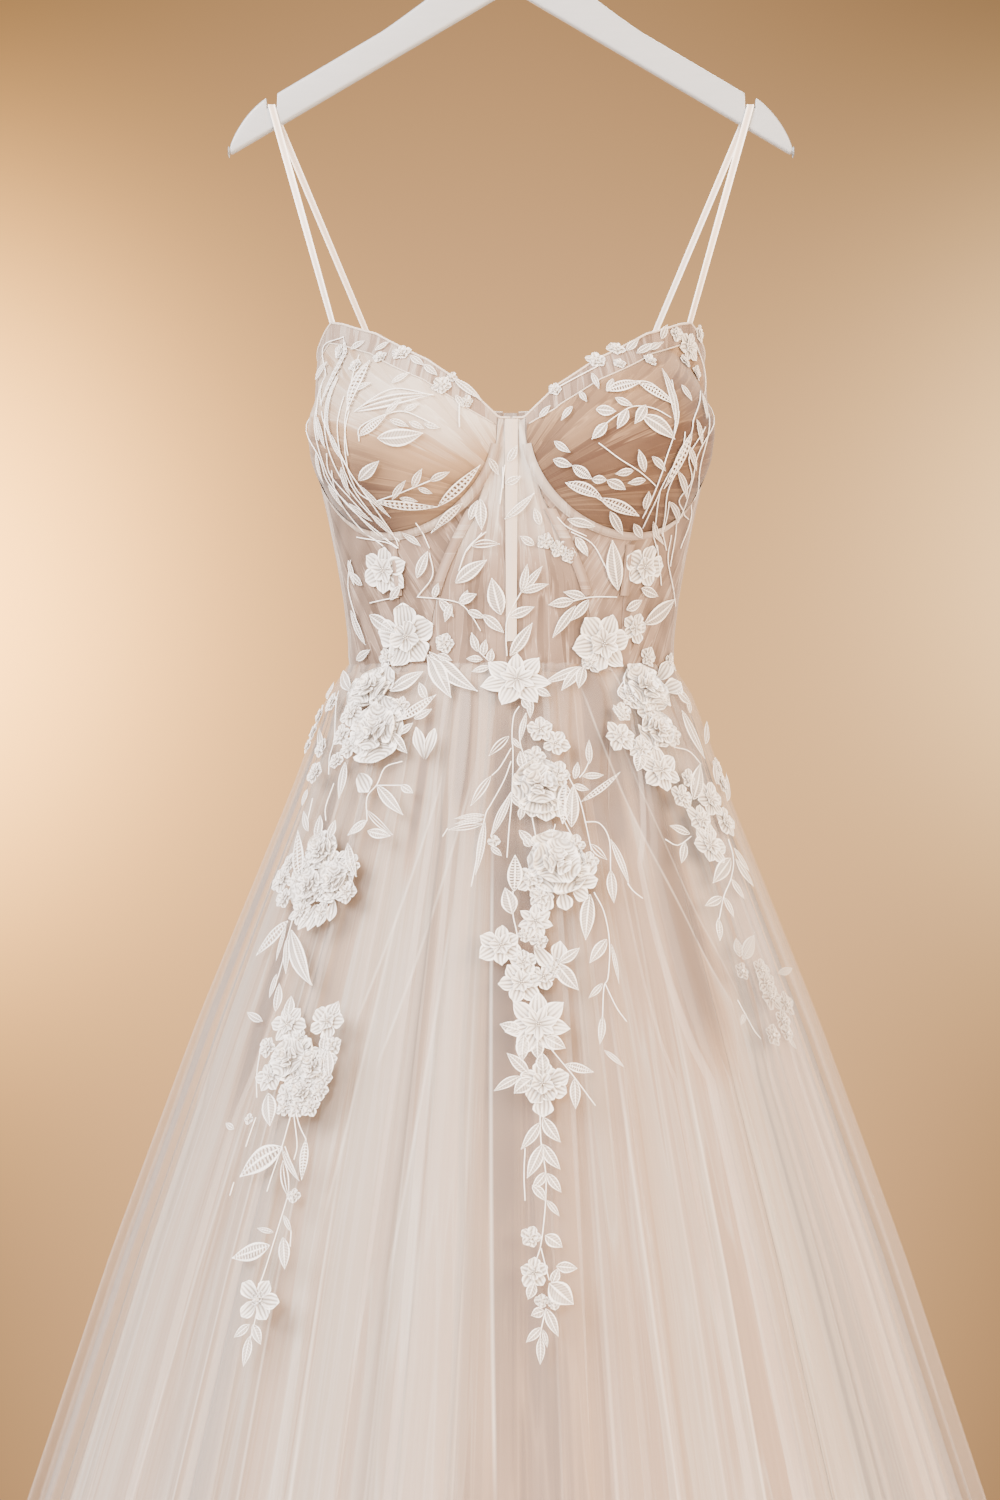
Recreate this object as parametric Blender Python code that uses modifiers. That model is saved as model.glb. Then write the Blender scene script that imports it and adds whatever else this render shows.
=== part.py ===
"""Wedding dress on a hanger: a boned bodice with lace applique over a full gathered tulle skirt.

Metres, +Z up, the front faces -Y and +X is the right of someone who looks at the front.
The origin is the inside top of the hanger's hook, where a rail bears.
Heights are negative, because everything hangs below that point.
"""
import math

import bpy
import numpy as np

# ---------------------------------------------------------------- driving sizes, in metres
SEAM_GAP = 0.0003            # between two cut edges, and between a layer and what lies on it
SEAM_TURN = 0.1              # degrees that a panel's upright edge stands back from its seam
BODICE_WALL = 0.0012
TULLE_WALL = 0.0010
LINING_WALL = 0.0012
CASING_WALL = 0.0010         # satin ribbon sewn over bones and wires
LACE_WALL = 0.0012           # corded lace
CASING_LIFT = 0.0009         # casings above the seams that they cover
LACE_LIFT = 0.0009           # lace above the cloth under it

WAIST = -0.620               # height of the waist seam
HEM = -1.700
GORE_TOP = -0.4326           # height of the flat middle of the neckline

# Body of the bodice, a row for each height.
BODICE_HEIGHT, BODICE_WIDTH, BODICE_FRONT, BODICE_BACK = np.array([
    # height   half_width  front_depth  back_depth
    (-0.3500,  0.1505,     0.0900,      0.0860),
    (-0.3950,  0.1540,     0.0930,      0.0880),
    (-0.4350,  0.1560,     0.0950,      0.0880),
    (-0.4740,  0.1515,     0.0930,      0.0870),
    (-0.5100,  0.1434,     0.0900,      0.0840),
    (-0.5400,  0.1375,     0.0880,      0.0810),
    (-0.5700,  0.1322,     0.0870,      0.0790),
    (-0.6000,  0.1288,     0.0880,      0.0780),
    (WAIST,    0.1284,     0.0900,      0.0790),
])[::-1].T

# Smooth outside of the skirt, through the crests of its folds, a row for each height.
(SKIRT_HEIGHT, SKIRT_WIDTH, SKIRT_FRONT, SKIRT_BACK, FOLD_DEPTH, LINING_INSET) = np.array([
    # height           half_width  front_depth  back_depth  fold_depth  lining_inset
    (WAIST - SEAM_GAP, 0.1284,     0.0900,      0.0790,     0.0015,     0.0036),
    (-0.6450,          0.1455,     0.1060,      0.0970,     0.0060,     0.0095),
    (-0.7200,          0.1740,     0.1350,      0.1310,     0.0110,     0.0160),
    (-0.9000,          0.2480,     0.2060,      0.2080,     0.0170,     0.0240),
    (-1.0800,          0.3155,     0.2680,      0.2740,     0.0210,     0.0300),
    (-1.2800,          0.3830,     0.3280,      0.3380,     0.0240,     0.0350),
    (HEM,              0.5350,     0.4600,      0.4780,     0.0280,     0.0420),
])[::-1].T

# Top edge of the bodice, a row for each place, by the angle round from the front middle.
NECK_ANGLE, NECK_HEIGHT = np.array([
    # angle   height
    (0.0,     GORE_TOP),     # flat middle
    (3.6,     GORE_TOP),
    (13.2,    -0.4073),
    (24.2,    -0.3880),
    (43.5,    -0.3655),
    (60.0,    -0.3560),
    (68.5,    -0.3535),      # corner under the strap
    (74.0,    -0.3600),
    (80.0,    -0.3680),
    (90.0,    -0.3760),      # under the arm
    (110.0,   -0.3900),
    (140.0,   -0.4040),
    (165.0,   -0.4120),
    (180.0,   -0.4140),      # back middle
]).T

# Cups: a dome over an ellipse in angle and height.
CUP_ANGLE = 41.0             # middle of a cup, degrees round from the front
CUP_TURN = 37.0              # half its width, degrees
CUP_MIDDLE = -0.440
CUP_DROP = 0.082             # from its middle down to the lowest point of the underwire
CUP_DOME = 0.036             # how far it stands out of the body
CUP_APEX = -0.448
CUP_STATIONS = np.array([0.0, 5.6, 11.25] + [22.5 + 11.25 * i for i in range(15)])
BAND_DEPTH = 0.016           # neckline band
BAND_DEPTH_AT_GORE = 0.0074

# Upright seams of the bodice, degrees round from the front middle.
PRINCESS_AT_WAIST = 30.2     # the slanted seam beside the front middle
PRINCESS_STATION = 22.5      # where it leaves the underwire
SIDE_FRONT_SEAM = CUP_ANGLE
SIDE_SEAM = CUP_ANGLE + CUP_TURN
BACK_SEAM = 125.0
PLACKET_EDGE = 177.8
PANEL_SHARES = np.array([0.0, 0.06, 0.16, 0.32, 0.48, 0.64, 0.82, 1.0])   # rows, closer under a cup

CASING_HALF_TURN = 1.8       # half the width of a bone casing, degrees
WIRE_CASING_HALF = 0.0032
WIRE_CASING_HALF_TURN = 1.3

# Skirt folds.
FOLDS = 48
SKIRT_PANELS = ("front", "side_front_right", "side_back_right",
                "back", "side_back_left", "side_front_left")
LINING_GORES = ("front", "right", "back", "left")
FOLD_POINTS = 4              # points round each fold
FOLD_FLATNESS = 1.17         # widens the crest, so that it is round and not a ridge
LINING_HEM = HEM + 0.020

# Straps: satin ribbon, one on each side, over the hanger and down to the front and the back.
STRAP_WIDTH = 0.0068
STRAP_WALL = 0.0010
STRAP_FRONT_ANGLE = 66.5
STRAP_BACK_ANGLE = 136.0
STRAP_TUCK = 0.010           # length sewn inside the top edge
STRAP_BEND = 0.0010          # radius of the ribbon's turns over the board's edges
STRAP_FRONT_LEAN = 48.0      # degrees that the ribbon turns to lie on the bodice, at the front
STRAP_BACK_LEAN = 38.0

# Hanger: a painted board with a wire hook.
HANGER_HALF_WIDTH = 0.2228
HANGER_THICK = 0.012
HANGER_SLOPE = 0.589         # fall of an arm for each metre outwards
HANGER_UPPER = -0.0606       # where the line of the upper edge would cross the middle
HANGER_LOWER = -0.0870       # and the line of the lower edge
HANGER_CROWN = -0.0620       # top of the board in the middle
NOTCH_AT = 0.1888
NOTCH_WIDTH = 0.0088
NOTCH_FLOOR = -0.1795
HOOK_WIRE = 0.0020           # radius of the wire
HOOK_BEND = 0.0230           # radius of its bend, along the wire's middle
HOOK_STEM_FOOT = -0.0840

# The lace is charted on the plane through the hanger, as it is seen from this eye point.
EYE = (-0.0087, -3.2, -0.6875)

MM = 0.001


# ---------------------------------------------------------------- set-up
for old_object in list(bpy.data.objects):
    bpy.data.objects.remove(old_object, do_unlink=True)

dress = bpy.data.collections.new("wedding_dress")
bpy.context.scene.collection.children.link(dress)
cutters = bpy.data.collections.new("cutters")
bpy.context.scene.collection.children.link(cutters)


def material(name, colour, roughness, metallic=0.0):
    """A Principled surface of one colour, given as linear red, green and blue."""
    surface = bpy.data.materials.new(name)
    surface.use_nodes = True
    shader = surface.node_tree.nodes["Principled BSDF"]
    shader.inputs["Base Color"].default_value = (*colour, 1.0)
    shader.inputs["Roughness"].default_value = roughness
    shader.inputs["Metallic"].default_value = metallic
    surface.diffuse_color = (*colour, 1.0)
    return surface


TULLE = material("ivory_tulle", (0.76, 0.71, 0.67), 0.85)
NUDE_LINING = material("nude_satin_lining", (0.60, 0.44, 0.33), 0.55)
NUDE_CUP = material("nude_moulded_cup", (0.56, 0.38, 0.26), 0.70)
BODICE_NET = material("nude_net_over_powermesh", (0.66, 0.55, 0.46), 0.80)
SATIN = material("ivory_satin_ribbon", (0.86, 0.82, 0.76), 0.40)
LACE = material("ivory_corded_lace", (0.88, 0.85, 0.82), 0.65)
PAINTED_WOOD = material("white_painted_beech", (0.72, 0.72, 0.71), 0.35)
STEEL = material("nickel_plated_wire", (0.68, 0.67, 0.65), 0.25, 1.0)


# ---------------------------------------------------------------- the dress as one surface
def body_at(height):
    """Half width, front depth and back depth at a height, of the bodice above the waist."""
    above = height > WAIST
    half_width = np.where(above, np.interp(height, BODICE_HEIGHT, BODICE_WIDTH),
                          np.interp(height, SKIRT_HEIGHT, SKIRT_WIDTH))
    front = np.where(above, np.interp(height, BODICE_HEIGHT, BODICE_FRONT),
                     np.interp(height, SKIRT_HEIGHT, SKIRT_FRONT))
    back = np.where(above, np.interp(height, BODICE_HEIGHT, BODICE_BACK),
                    np.interp(height, SKIRT_HEIGHT, SKIRT_BACK))
    return half_width, front, back


def cup_dome(angle, height):
    """How far the cups lift the cloth: a rounded cap over the ellipse of each cup."""
    across = (np.abs(angle) - CUP_ANGLE) / (CUP_TURN + 2.0)
    up = (height - CUP_APEX) / (CUP_DROP - (CUP_MIDDLE - CUP_APEX) + 0.0015)
    return CUP_DOME * np.clip(1.0 - across ** 2 - up ** 2, 0.0, None) ** 1.1


def on_dress(angle, height, inset=0.0):
    """Points on the dress by angle round from the front, in degrees, and height.

    The section is an ellipse whose depth differs front and back; the cups and any inset move
    the point level, square to that ellipse.
    """
    angle, height = np.broadcast_arrays(np.asarray(angle, float), np.asarray(height, float))
    turn = np.radians(angle)
    half_width, front, back = body_at(height)
    depth = np.where(np.cos(turn) > 0.0, front, back)
    square_x = np.sin(turn) / half_width
    square_y = -np.cos(turn) / depth
    size = np.hypot(square_x, square_y)
    out = np.where(height > WAIST, cup_dome(angle, height), 0.0) - inset
    x = half_width * np.sin(turn) + out * square_x / size
    y = -depth * np.cos(turn) + out * square_y / size
    return np.stack([x, y, height], axis=-1)


def lifted(angle, height, lift):
    """Points at a height above the cloth, square to it."""
    step_angle = 0.3
    step_height = 0.0015
    round_it = on_dress(angle + step_angle, height) - on_dress(angle - step_angle, height)
    up_it = on_dress(angle, height + step_height) - on_dress(angle, height - step_height)
    square = np.cross(round_it, up_it)
    square /= np.linalg.norm(square, axis=-1, keepdims=True)
    return on_dress(angle, height) + square * np.asarray(lift, float)[..., None]


def from_chart(chart_x, chart_z):
    """Angle and height on the dress of a place on the flat lace chart, seen from the eye point."""
    y = np.full(np.shape(chart_x), -0.12)
    lean = np.zeros(np.shape(chart_x))
    for _ in range(30):
        near = (y - EYE[1]) / -EYE[1]
        x = EYE[0] + (chart_x - EYE[0]) * near
        height = EYE[2] + (chart_z - EYE[2]) * near
        half_width = body_at(height)[0]
        angle = np.degrees(np.arcsin(np.clip((x - lean) / half_width, -0.985, 0.985)))
        found = on_dress(angle, height)
        lean = 0.5 * lean + 0.5 * (found[..., 0] - half_width * np.sin(np.radians(angle)))
        y = 0.5 * y + 0.5 * found[..., 1]
    return angle, height


# ---------------------------------------------------------------- makers of solids
def place(name, mesh, finish, smooth=True):
    """Puts a mesh in the dress's collection with its finish."""
    piece = bpy.data.objects.new(name, mesh)
    dress.objects.link(piece)
    mesh.materials.append(finish)
    if smooth:
        mesh.shade_smooth()
    return piece


def give_wall(piece, wall, outwards=False):
    """Turns an open surface into a closed wall."""
    solid = piece.modifiers.new("wall", "SOLIDIFY")
    solid.thickness = wall
    solid.offset = 1.0 if outwards else -1.0


def cloth(name, points, wall, finish, outwards=False):
    """A wall on a grid of points: rows run down the dress, columns run round it to +X."""
    rows, columns = points.shape[:2]
    index = np.arange(rows * columns).reshape(rows, columns)
    faces = np.stack([index[:-1, :-1], index[1:, :-1], index[1:, 1:], index[:-1, 1:]], axis=-1)
    mesh = bpy.data.meshes.new(name)
    mesh.from_pydata(points.reshape(-1, 3).tolist(), [], faces.reshape(-1, 4).tolist())
    piece = place(name, mesh, finish)
    give_wall(piece, wall, outwards)
    return piece


def mirrored(side):
    """+1 for the right half of the dress, -1 for the left."""
    return 1.0 if side == "right" else -1.0


def half_cloth(name, side, angle, height, wall, finish, lift=None):
    """A wall given for the right half, on either side; a lift puts it over the cloth instead."""
    sign = mirrored(side)
    if sign < 0.0:
        angle = -angle[:, ::-1]
        height = height[:, ::-1]
    if lift is None:
        points = on_dress(angle, height)
    else:
        points = lifted(angle, height, np.full(angle.shape, lift))
    return cloth(f"{name}_{side}", points, wall, finish, outwards=lift is not None)


# ---------------------------------------------------------------- bodice
def neckline(angle):
    """Height of the top edge at an angle."""
    return np.interp(np.abs(angle), NECK_ANGLE, NECK_HEIGHT)


def band_foot(angle):
    """Height of the seam between the neckline band and the cup."""
    widening = np.clip((angle - (CUP_ANGLE - CUP_TURN)) / 8.0, 0.0, 1.0)
    return neckline(angle) - BAND_DEPTH_AT_GORE - (BAND_DEPTH - BAND_DEPTH_AT_GORE) * widening


def underwire(station, grow_turn=0.0, grow_drop=0.0):
    """Angle and height on the underwire's ellipse, by station in degrees from the gore."""
    along = np.radians(station)
    angle = CUP_ANGLE - (CUP_TURN + grow_turn) * np.cos(along)
    height = CUP_MIDDLE - (CUP_DROP + grow_drop) * np.sin(along)
    return angle, height


def princess(share):
    """How far the slanted seam has gone to its place at the waist, by its share of the height."""
    return np.sin(0.5 * math.pi * np.asarray(share) ** 0.75) ** 2


def panel_under_cup(first, last, waist_first, waist_last):
    """Grid of a panel that hangs from the underwire between two stations down to the waist."""
    stations = CUP_STATIONS[(CUP_STATIONS >= first) & (CUP_STATIONS <= last)]
    top_angle, top_height = underwire(stations, SEAM_TURN, SEAM_GAP / 2)
    waist_angle = np.linspace(waist_first, waist_last, len(stations))
    share = PANEL_SHARES[:, None]
    angle = top_angle + (waist_angle - top_angle) * princess(share)
    height = top_height + (WAIST - top_height) * share
    angle[:, 0] += SEAM_TURN
    angle[:, -1] -= SEAM_TURN
    return angle, height


def make_bodice():
    gore_stations = CUP_STATIONS[CUP_STATIONS <= PRINCESS_STATION]
    gore_angle, gore_height = underwire(gore_stations, SEAM_TURN, SEAM_GAP / 2)
    share = PANEL_SHARES[1:]
    slant_angle = gore_angle[-1] + (PRINCESS_AT_WAIST - gore_angle[-1]) * princess(share)
    slant_height = gore_height[-1] + (WAIST - gore_height[-1]) * share
    edge = np.concatenate([gore_angle[:1], gore_angle, slant_angle]) - SEAM_TURN
    height = np.concatenate([[GORE_TOP], gore_height, slant_height])
    across = np.linspace(-1.0, 1.0, 7)
    cloth("centre_front_panel", on_dress(edge[:, None] * across, height[:, None] + 0.0 * across),
          BODICE_WALL, BODICE_NET)

    for side in ("left", "right"):
        stations = CUP_STATIONS[1:]
        foot_angle, foot_height = underwire(stations, -SEAM_TURN, -SEAM_GAP / 2)
        top_height = band_foot(foot_angle) - SEAM_GAP / 2
        share = np.linspace(0.0, 1.0, 9)[:, None]
        half_cloth("cup", side, foot_angle + 0.0 * share,
                   top_height + (foot_height - top_height) * share, BODICE_WALL, NUDE_CUP)

        stations = CUP_STATIONS
        band_angle = underwire(stations, -SEAM_TURN)[0]
        share = np.linspace(0.0, 1.0, 3)[:, None]
        drop = band_foot(band_angle) + SEAM_GAP / 2 - neckline(band_angle)
        half_cloth("neckline_band", side, band_angle + 0.0 * share,
                   neckline(band_angle) + drop * share, BODICE_WALL, BODICE_NET)

        angle, height = panel_under_cup(PRINCESS_STATION, 90.0, PRINCESS_AT_WAIST, SIDE_FRONT_SEAM)
        half_cloth("side_front_panel", side, angle, height, BODICE_WALL, BODICE_NET)
        angle, height = panel_under_cup(90.0, 180.0, SIDE_FRONT_SEAM, SIDE_SEAM)
        half_cloth("side_panel", side, angle, height, BODICE_WALL, BODICE_NET)

        for name, first, last in (("side_back_panel", SIDE_SEAM, BACK_SEAM),
                                  ("back_panel", BACK_SEAM, PLACKET_EDGE)):
            columns = np.linspace(first + SEAM_TURN, last - SEAM_TURN, 8)
            share = PANEL_SHARES[:, None]
            half_cloth(name, side, columns + 0.0 * share,
                       neckline(columns) + (WAIST - neckline(columns)) * share,
                       BODICE_WALL, BODICE_NET)

    columns = np.linspace(PLACKET_EDGE + SEAM_TURN, 360.0 - PLACKET_EDGE - SEAM_TURN, 3)
    share = PANEL_SHARES[:, None]
    top = NECK_HEIGHT[-1]
    cloth("back_placket", on_dress(columns + 0.0 * share, top + (WAIST - top) * share + 0.0 * columns),
          BODICE_WALL, BODICE_NET)


def make_casings():
    """Ribbon casings: one up the middle, one on each slanted and side seam, one under each cup."""
    middle = np.linspace(-CASING_HALF_TURN, CASING_HALF_TURN, 3)
    height = np.linspace(GORE_TOP - 0.001, -0.604, 13)[:, None]
    cloth("bone_casing_centre", lifted(middle + 0.0 * height, height + 0.0 * middle,
                                       np.full((13, 3), CASING_LIFT)),
          CASING_WALL, SATIN, outwards=True)
    _, slant_top = underwire(PRINCESS_STATION)
    slant_from, _ = underwire(PRINCESS_STATION)
    for side in ("left", "right"):
        height = np.linspace(-0.5020, -0.5680, 7)[:, None]
        share = (slant_top - height) / (slant_top - WAIST)
        line = slant_from + (PRINCESS_AT_WAIST - slant_from) * princess(share)
        width = np.array([[-CASING_HALF_TURN, 0.0, CASING_HALF_TURN]])
        half_cloth("bone_casing_slanted", side, line + width, height + 0.0 * width,
                   CASING_WALL, SATIN, CASING_LIFT)
        height = np.linspace(-0.5285, -0.5680, 5)[:, None]
        half_cloth("bone_casing_side", side, SIDE_FRONT_SEAM + width + 0.0 * height,
                   height + 0.0 * width, CASING_WALL, SATIN, CASING_LIFT)
        stations = np.linspace(9.0, 172.0, 20)
        grow = np.array([[-1.0], [0.0], [1.0]])
        angle, height = underwire(stations, grow * WIRE_CASING_HALF_TURN, grow * WIRE_CASING_HALF)
        half_cloth("underwire_casing", side, angle, height, CASING_WALL, SATIN, CASING_LIFT)


# ---------------------------------------------------------------- skirt
def fold_angle(fold):
    """Angle of a place counted in folds from the front middle, spaced unevenly as gathers are."""
    turn = 2.0 * math.pi * fold / FOLDS
    uneven = (0.030 * np.sin(3.0 * turn + 2.0) + 0.020 * np.sin(7.0 * turn)
              + 0.011 * np.sin(13.0 * turn + 1.0))
    return np.degrees(turn + uneven)


def fold_crest(fold):
    """0 in a valley, at whole numbers of folds, and 1 on the crest between two."""
    return np.clip(FOLD_FLATNESS * (0.5 - 0.5 * np.cos(2.0 * math.pi * fold)), 0.0, 1.0)


def make_skirt():
    """Outer tulle in six gathered panels, seamed in valleys, over a smooth lining in four gores."""
    folds_each = FOLDS // len(SKIRT_PANELS)
    height = SKIRT_HEIGHT[::-1, None]
    for number, name in enumerate(SKIRT_PANELS):
        start = (number - 0.5) * folds_each
        inner = start + (np.arange(folds_each * FOLD_POINTS) + 0.5) / FOLD_POINTS
        fold = np.concatenate([[start], inner, [start + folds_each]])
        angle = fold_angle(fold)
        angle[0] += SEAM_TURN
        angle[-1] -= SEAM_TURN
        inset = FOLD_DEPTH[::-1, None] * (1.0 - fold_crest(fold))
        cloth(f"skirt_tulle_{name}", on_dress(angle + 0.0 * height, height + 0.0 * angle, inset),
              TULLE_WALL, TULLE)

    lining_height = np.concatenate([SKIRT_HEIGHT[:0:-1], [LINING_HEM]])[:, None]
    for number, name in enumerate(LINING_GORES):
        angle = np.linspace(90.0 * number - 45.0 + SEAM_TURN, 90.0 * number + 45.0 - SEAM_TURN, 12)
        inset = LINING_INSET[::-1, None] + 0.0 * angle
        cloth(f"skirt_lining_{name}",
              on_dress(angle + 0.0 * lining_height, lining_height + 0.0 * angle, inset),
              LINING_WALL, NUDE_LINING)


# ---------------------------------------------------------------- lace applique
def round_motif(name, chart_x, chart_z, radius, petals, turn):
    """A flower or rosette: a disc with a scalloped rim, raised to the middle, laid on the dress."""
    angle, height = from_chart(np.array(chart_x * MM), np.array(chart_z * MM))
    motif_at(name, float(angle), float(height), radius * MM, petals, turn)


def motif_at(name, angle, height, radius, petals, turn):
    """The same at an angle and height on the dress: three rings of points, two to a petal."""
    around = on_dress(angle + 0.5, height) - on_dress(angle - 0.5, height)
    along = on_dress(angle, height + 0.0005) - on_dress(angle, height - 0.0005)
    metres_per_degree = np.linalg.norm(around)
    metres_per_metre = np.linalg.norm(along) / 0.001
    bearing = np.radians(turn) + np.arange(2 * petals) * math.pi / petals
    rim = np.where(np.arange(2 * petals) % 2 == 0, radius, 0.78 * radius)
    rings = np.array([[0.38], [0.72], [1.0]])
    raised = np.array([[0.0022], [0.0015], [0.0]]) + 0.0 * bearing
    across = rings * rim * np.cos(bearing)
    up = rings * rim * np.sin(bearing)
    ring_points = lifted(angle + across / metres_per_degree, height + up / metres_per_metre,
                         LACE_LIFT + raised)
    middle = lifted(np.array([angle]), np.array([height]), np.array([LACE_LIFT + 0.0026]))
    points = np.concatenate([middle, ring_points.reshape(-1, 3)])
    count = 2 * petals
    after = np.roll(np.arange(count), -1)
    first = 1 + np.arange(count)
    fan = [(0, int(a), int(b)) for a, b in zip(first, first[after])]
    quads = []
    for ring in range(2):
        inner = first + ring * count
        outer = inner + count
        quads += [(int(a), int(b), int(c), int(d))
                  for a, b, c, d in zip(inner, outer, outer[after], inner[after])]
    mesh = bpy.data.meshes.new(name)
    mesh.from_pydata(points.tolist(), [], fan + quads)
    give_wall(place(name, mesh, LACE), LACE_WALL, outwards=True)


def leaf_spray(name, chart, half_width, leaves):
    """A stem with leaves: a strip along a charted line, scalloped once for each pair of leaves."""
    chart = np.array(chart) * MM
    reach = np.concatenate([[0.0], np.cumsum(np.linalg.norm(np.diff(chart, axis=0), axis=1))])
    stations = np.linspace(0.0, reach[-1], 2 * leaves + 1)
    angle, height = from_chart(np.interp(stations, reach, chart[:, 0]),
                               np.interp(stations, reach, chart[:, 1]))
    line = on_dress(angle, height)
    ahead = np.gradient(line, axis=0)
    round_it = on_dress(angle + 0.5, height) - on_dress(angle - 0.5, height)
    up_it = on_dress(angle, height + 0.0005) - on_dress(angle, height - 0.0005)
    round_size = np.linalg.norm(round_it, axis=1)
    up_size = np.linalg.norm(up_it, axis=1) / 0.001
    go_round = np.sum(ahead * round_it, axis=1) / round_size
    go_up = np.sum(ahead * up_it, axis=1) / (up_size * 0.001)
    size = np.hypot(go_round, go_up)
    spread = half_width * MM * np.where(np.arange(len(stations)) % 2 == 1, 1.0, 0.32)
    spread[[0, -1]] *= 0.5
    sides = np.array([[-1.0, 0.0, 1.0]])
    step_round = (-go_up / size * spread / round_size)[:, None] * sides
    step_up = (go_round / size * spread / up_size)[:, None] * sides
    lift = LACE_LIFT + np.where(sides == 0.0, 0.0007, 0.0) + 0.0 * step_up
    grid = lifted(angle[:, None] + step_round, height[:, None] + step_up, lift)
    square = np.cross(grid[1, 1] - grid[0, 1], grid[0, 2] - grid[0, 0])
    outside = grid[0, 1] - on_dress(angle[0], height[0], 0.01)
    if np.dot(square, outside) < 0.0:
        grid = grid[:, ::-1]
    cloth(name, grid, LACE_WALL, LACE, outwards=True)


# The chart, in millimetres from the hanger's middle and down from the hook.
ROUND_MOTIFS = (
    # name                      x       z       radius petals turn
    ("flower_waist_centre",     5.5,    -633.8, 23.0,  7,     90.0),
    ("flower_waist_left",       -83.7,  -596.7, 25.0,  5,     80.0),
    ("flower_waist_right",      69.0,   -599.0, 25.0,  6,     70.0),
    ("cluster_hip_left",        -118.0, -676.0, 42.0,  7,     100.0),
    ("cluster_hip_right",       112.0,  -660.0, 32.0,  6,     60.0),
    ("rose_left",               -151.0, -782.0, 34.0,  8,     90.0),
    ("flowers_left",            -166.0, -920.0, 31.0,  6,     75.0),
    ("flower_left_tip",         -197.0, -1122., 18.0,  5,     90.0),
    ("rose_centre_upper",       22.9,   -719.0, 29.0,  7,     85.0),
    ("rose_centre_lower",       38.7,   -786.5, 31.0,  8,     90.0),
    ("flowers_centre",          14.0,   -846.0, 23.0,  6,     90.0),
    ("flower_centre_low",       19.0,   -907.0, 20.0,  7,     90.0),
    ("flower_centre_lowest",    23.0,   -953.0, 19.0,  7,     70.0),
    ("cluster_right",           153.0,  -737.0, 30.0,  7,     80.0),
    ("cluster_right_low",       198.0,  -877.0, 30.0,  6,     80.0),
)
LEAF_SPRAYS = (
    # name                  chart points                                         half_width leaves
    ("spray_left",          ((-192, -972), (-176, -1032), (-190, -1082)),        11.0,      4),
    ("spray_centre_tip",    ((24, -988), (21, -1050), (24, -1110), (26, -1170)), 11.0,      6),
    ("spray_centre_left",   ((-8, -696), (-26, -732), (-46, -756)),              8.0,       3),
    ("spray_centre_right",  ((73, -826), (76, -877), (82, -931)),                8.0,       4),
    ("spray_right",         ((181, -768), (176, -795), (166, -822)),             8.0,       2),
    ("spray_cup_left",      ((-134, -446), (-92, -424), (-50, -414)),            9.0,       4),
    ("spray_cup_right",     ((50, -432), (90, -424), (128, -440)),               9.0,       4),
)
BACK_MOTIFS = (
    # name                      angle   height   radius petals turn
    ("cluster_back_right",      145.0,  -0.672,  0.038, 7,     90.0),
    ("cluster_back_left",       -145.0, -0.672,  0.038, 7,     90.0),
)


def make_lace():
    for row in ROUND_MOTIFS:
        round_motif(*row)
    for row in LEAF_SPRAYS:
        leaf_spray(*row)
    for row in BACK_MOTIFS:
        motif_at(*row)


# ---------------------------------------------------------------- straps
def over_the_board(face, top, corner):
    """The ribbon's middle line over the notch, front to back, as depth and height: two quarter arcs."""
    bend = np.radians(np.array([0.0, 30.0, 60.0, 90.0]))
    front = np.stack([-face + corner * (1.0 - np.cos(bend)), top - corner * (1.0 - np.sin(bend))], axis=-1)
    back = front[::-1] * np.array([-1.0, 1.0])
    return np.concatenate([front, back])


def make_straps():
    """Each strap is sewn inside the top edge, front and back, and lies in the hanger's notch."""
    face = HANGER_THICK / 2 + SEAM_GAP + STRAP_WALL / 2
    top = NOTCH_FLOOR + SEAM_GAP + STRAP_WALL / 2
    arch = over_the_board(face, top, STRAP_BEND)
    arch = np.insert(arch, 0, NOTCH_AT, axis=1)
    tuck = BODICE_WALL + SEAM_GAP + STRAP_WALL
    low = lower_edge(NOTCH_AT) - 0.004
    for side in ("left", "right"):
        sign = mirrored(side)
        lines = []
        for angle, slip, leave in ((STRAP_FRONT_ANGLE, 0.0062, -face - 0.0005),
                                   (STRAP_BACK_ANGLE, 0.0095, face + 0.0005)):
            height = neckline(angle)
            under_board = np.array([NOTCH_AT - slip, leave, low])
            edge = on_dress(angle, height + 0.001, tuck)
            foot = on_dress(angle, height - STRAP_TUCK, tuck)
            lines.append(np.concatenate([[foot], np.linspace(edge, under_board, 8)]))
        path = np.concatenate([lines[0], arch, lines[1][::-1]])
        # The ribbon's width runs along X over the hanger and turns to lie on the body at its ends.
        fall = np.clip((low - path[:, 2]) / (low - path[0, 2]), 0.0, 1.0)
        lean = np.where(path[:, 1] < 0.0, STRAP_FRONT_LEAN, -STRAP_BACK_LEAN)
        turn = np.radians(fall * lean)
        wide = np.stack([np.cos(turn), np.sin(turn), 0.0 * turn], axis=-1)
        edges = np.array([[-0.5], [0.5]]) * STRAP_WIDTH
        grid = path[:, None, :] + edges[None] * wide[:, None, :]
        grid[..., 0] *= sign
        if sign < 0.0:
            grid = grid[:, ::-1]
        strap = cloth(f"strap_{side}", grid, STRAP_WALL, SATIN)
        strap.modifiers["wall"].offset = 0.0


# ---------------------------------------------------------------- hanger
def bezier(first, handle_1, handle_2, last, count):
    """Points on a cubic curve, without its last one."""
    share = np.linspace(0.0, 1.0, count, endpoint=False)[:, None]
    first, handle_1, handle_2, last = (np.array(p) for p in (first, handle_1, handle_2, last))
    return ((1 - share) ** 3 * first + 3 * (1 - share) ** 2 * share * handle_1
            + 3 * (1 - share) * share ** 2 * handle_2 + share ** 3 * last)


def upper_edge(x):
    return HANGER_UPPER - HANGER_SLOPE * x


def lower_edge(x):
    return HANGER_LOWER - HANGER_SLOPE * x


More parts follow.
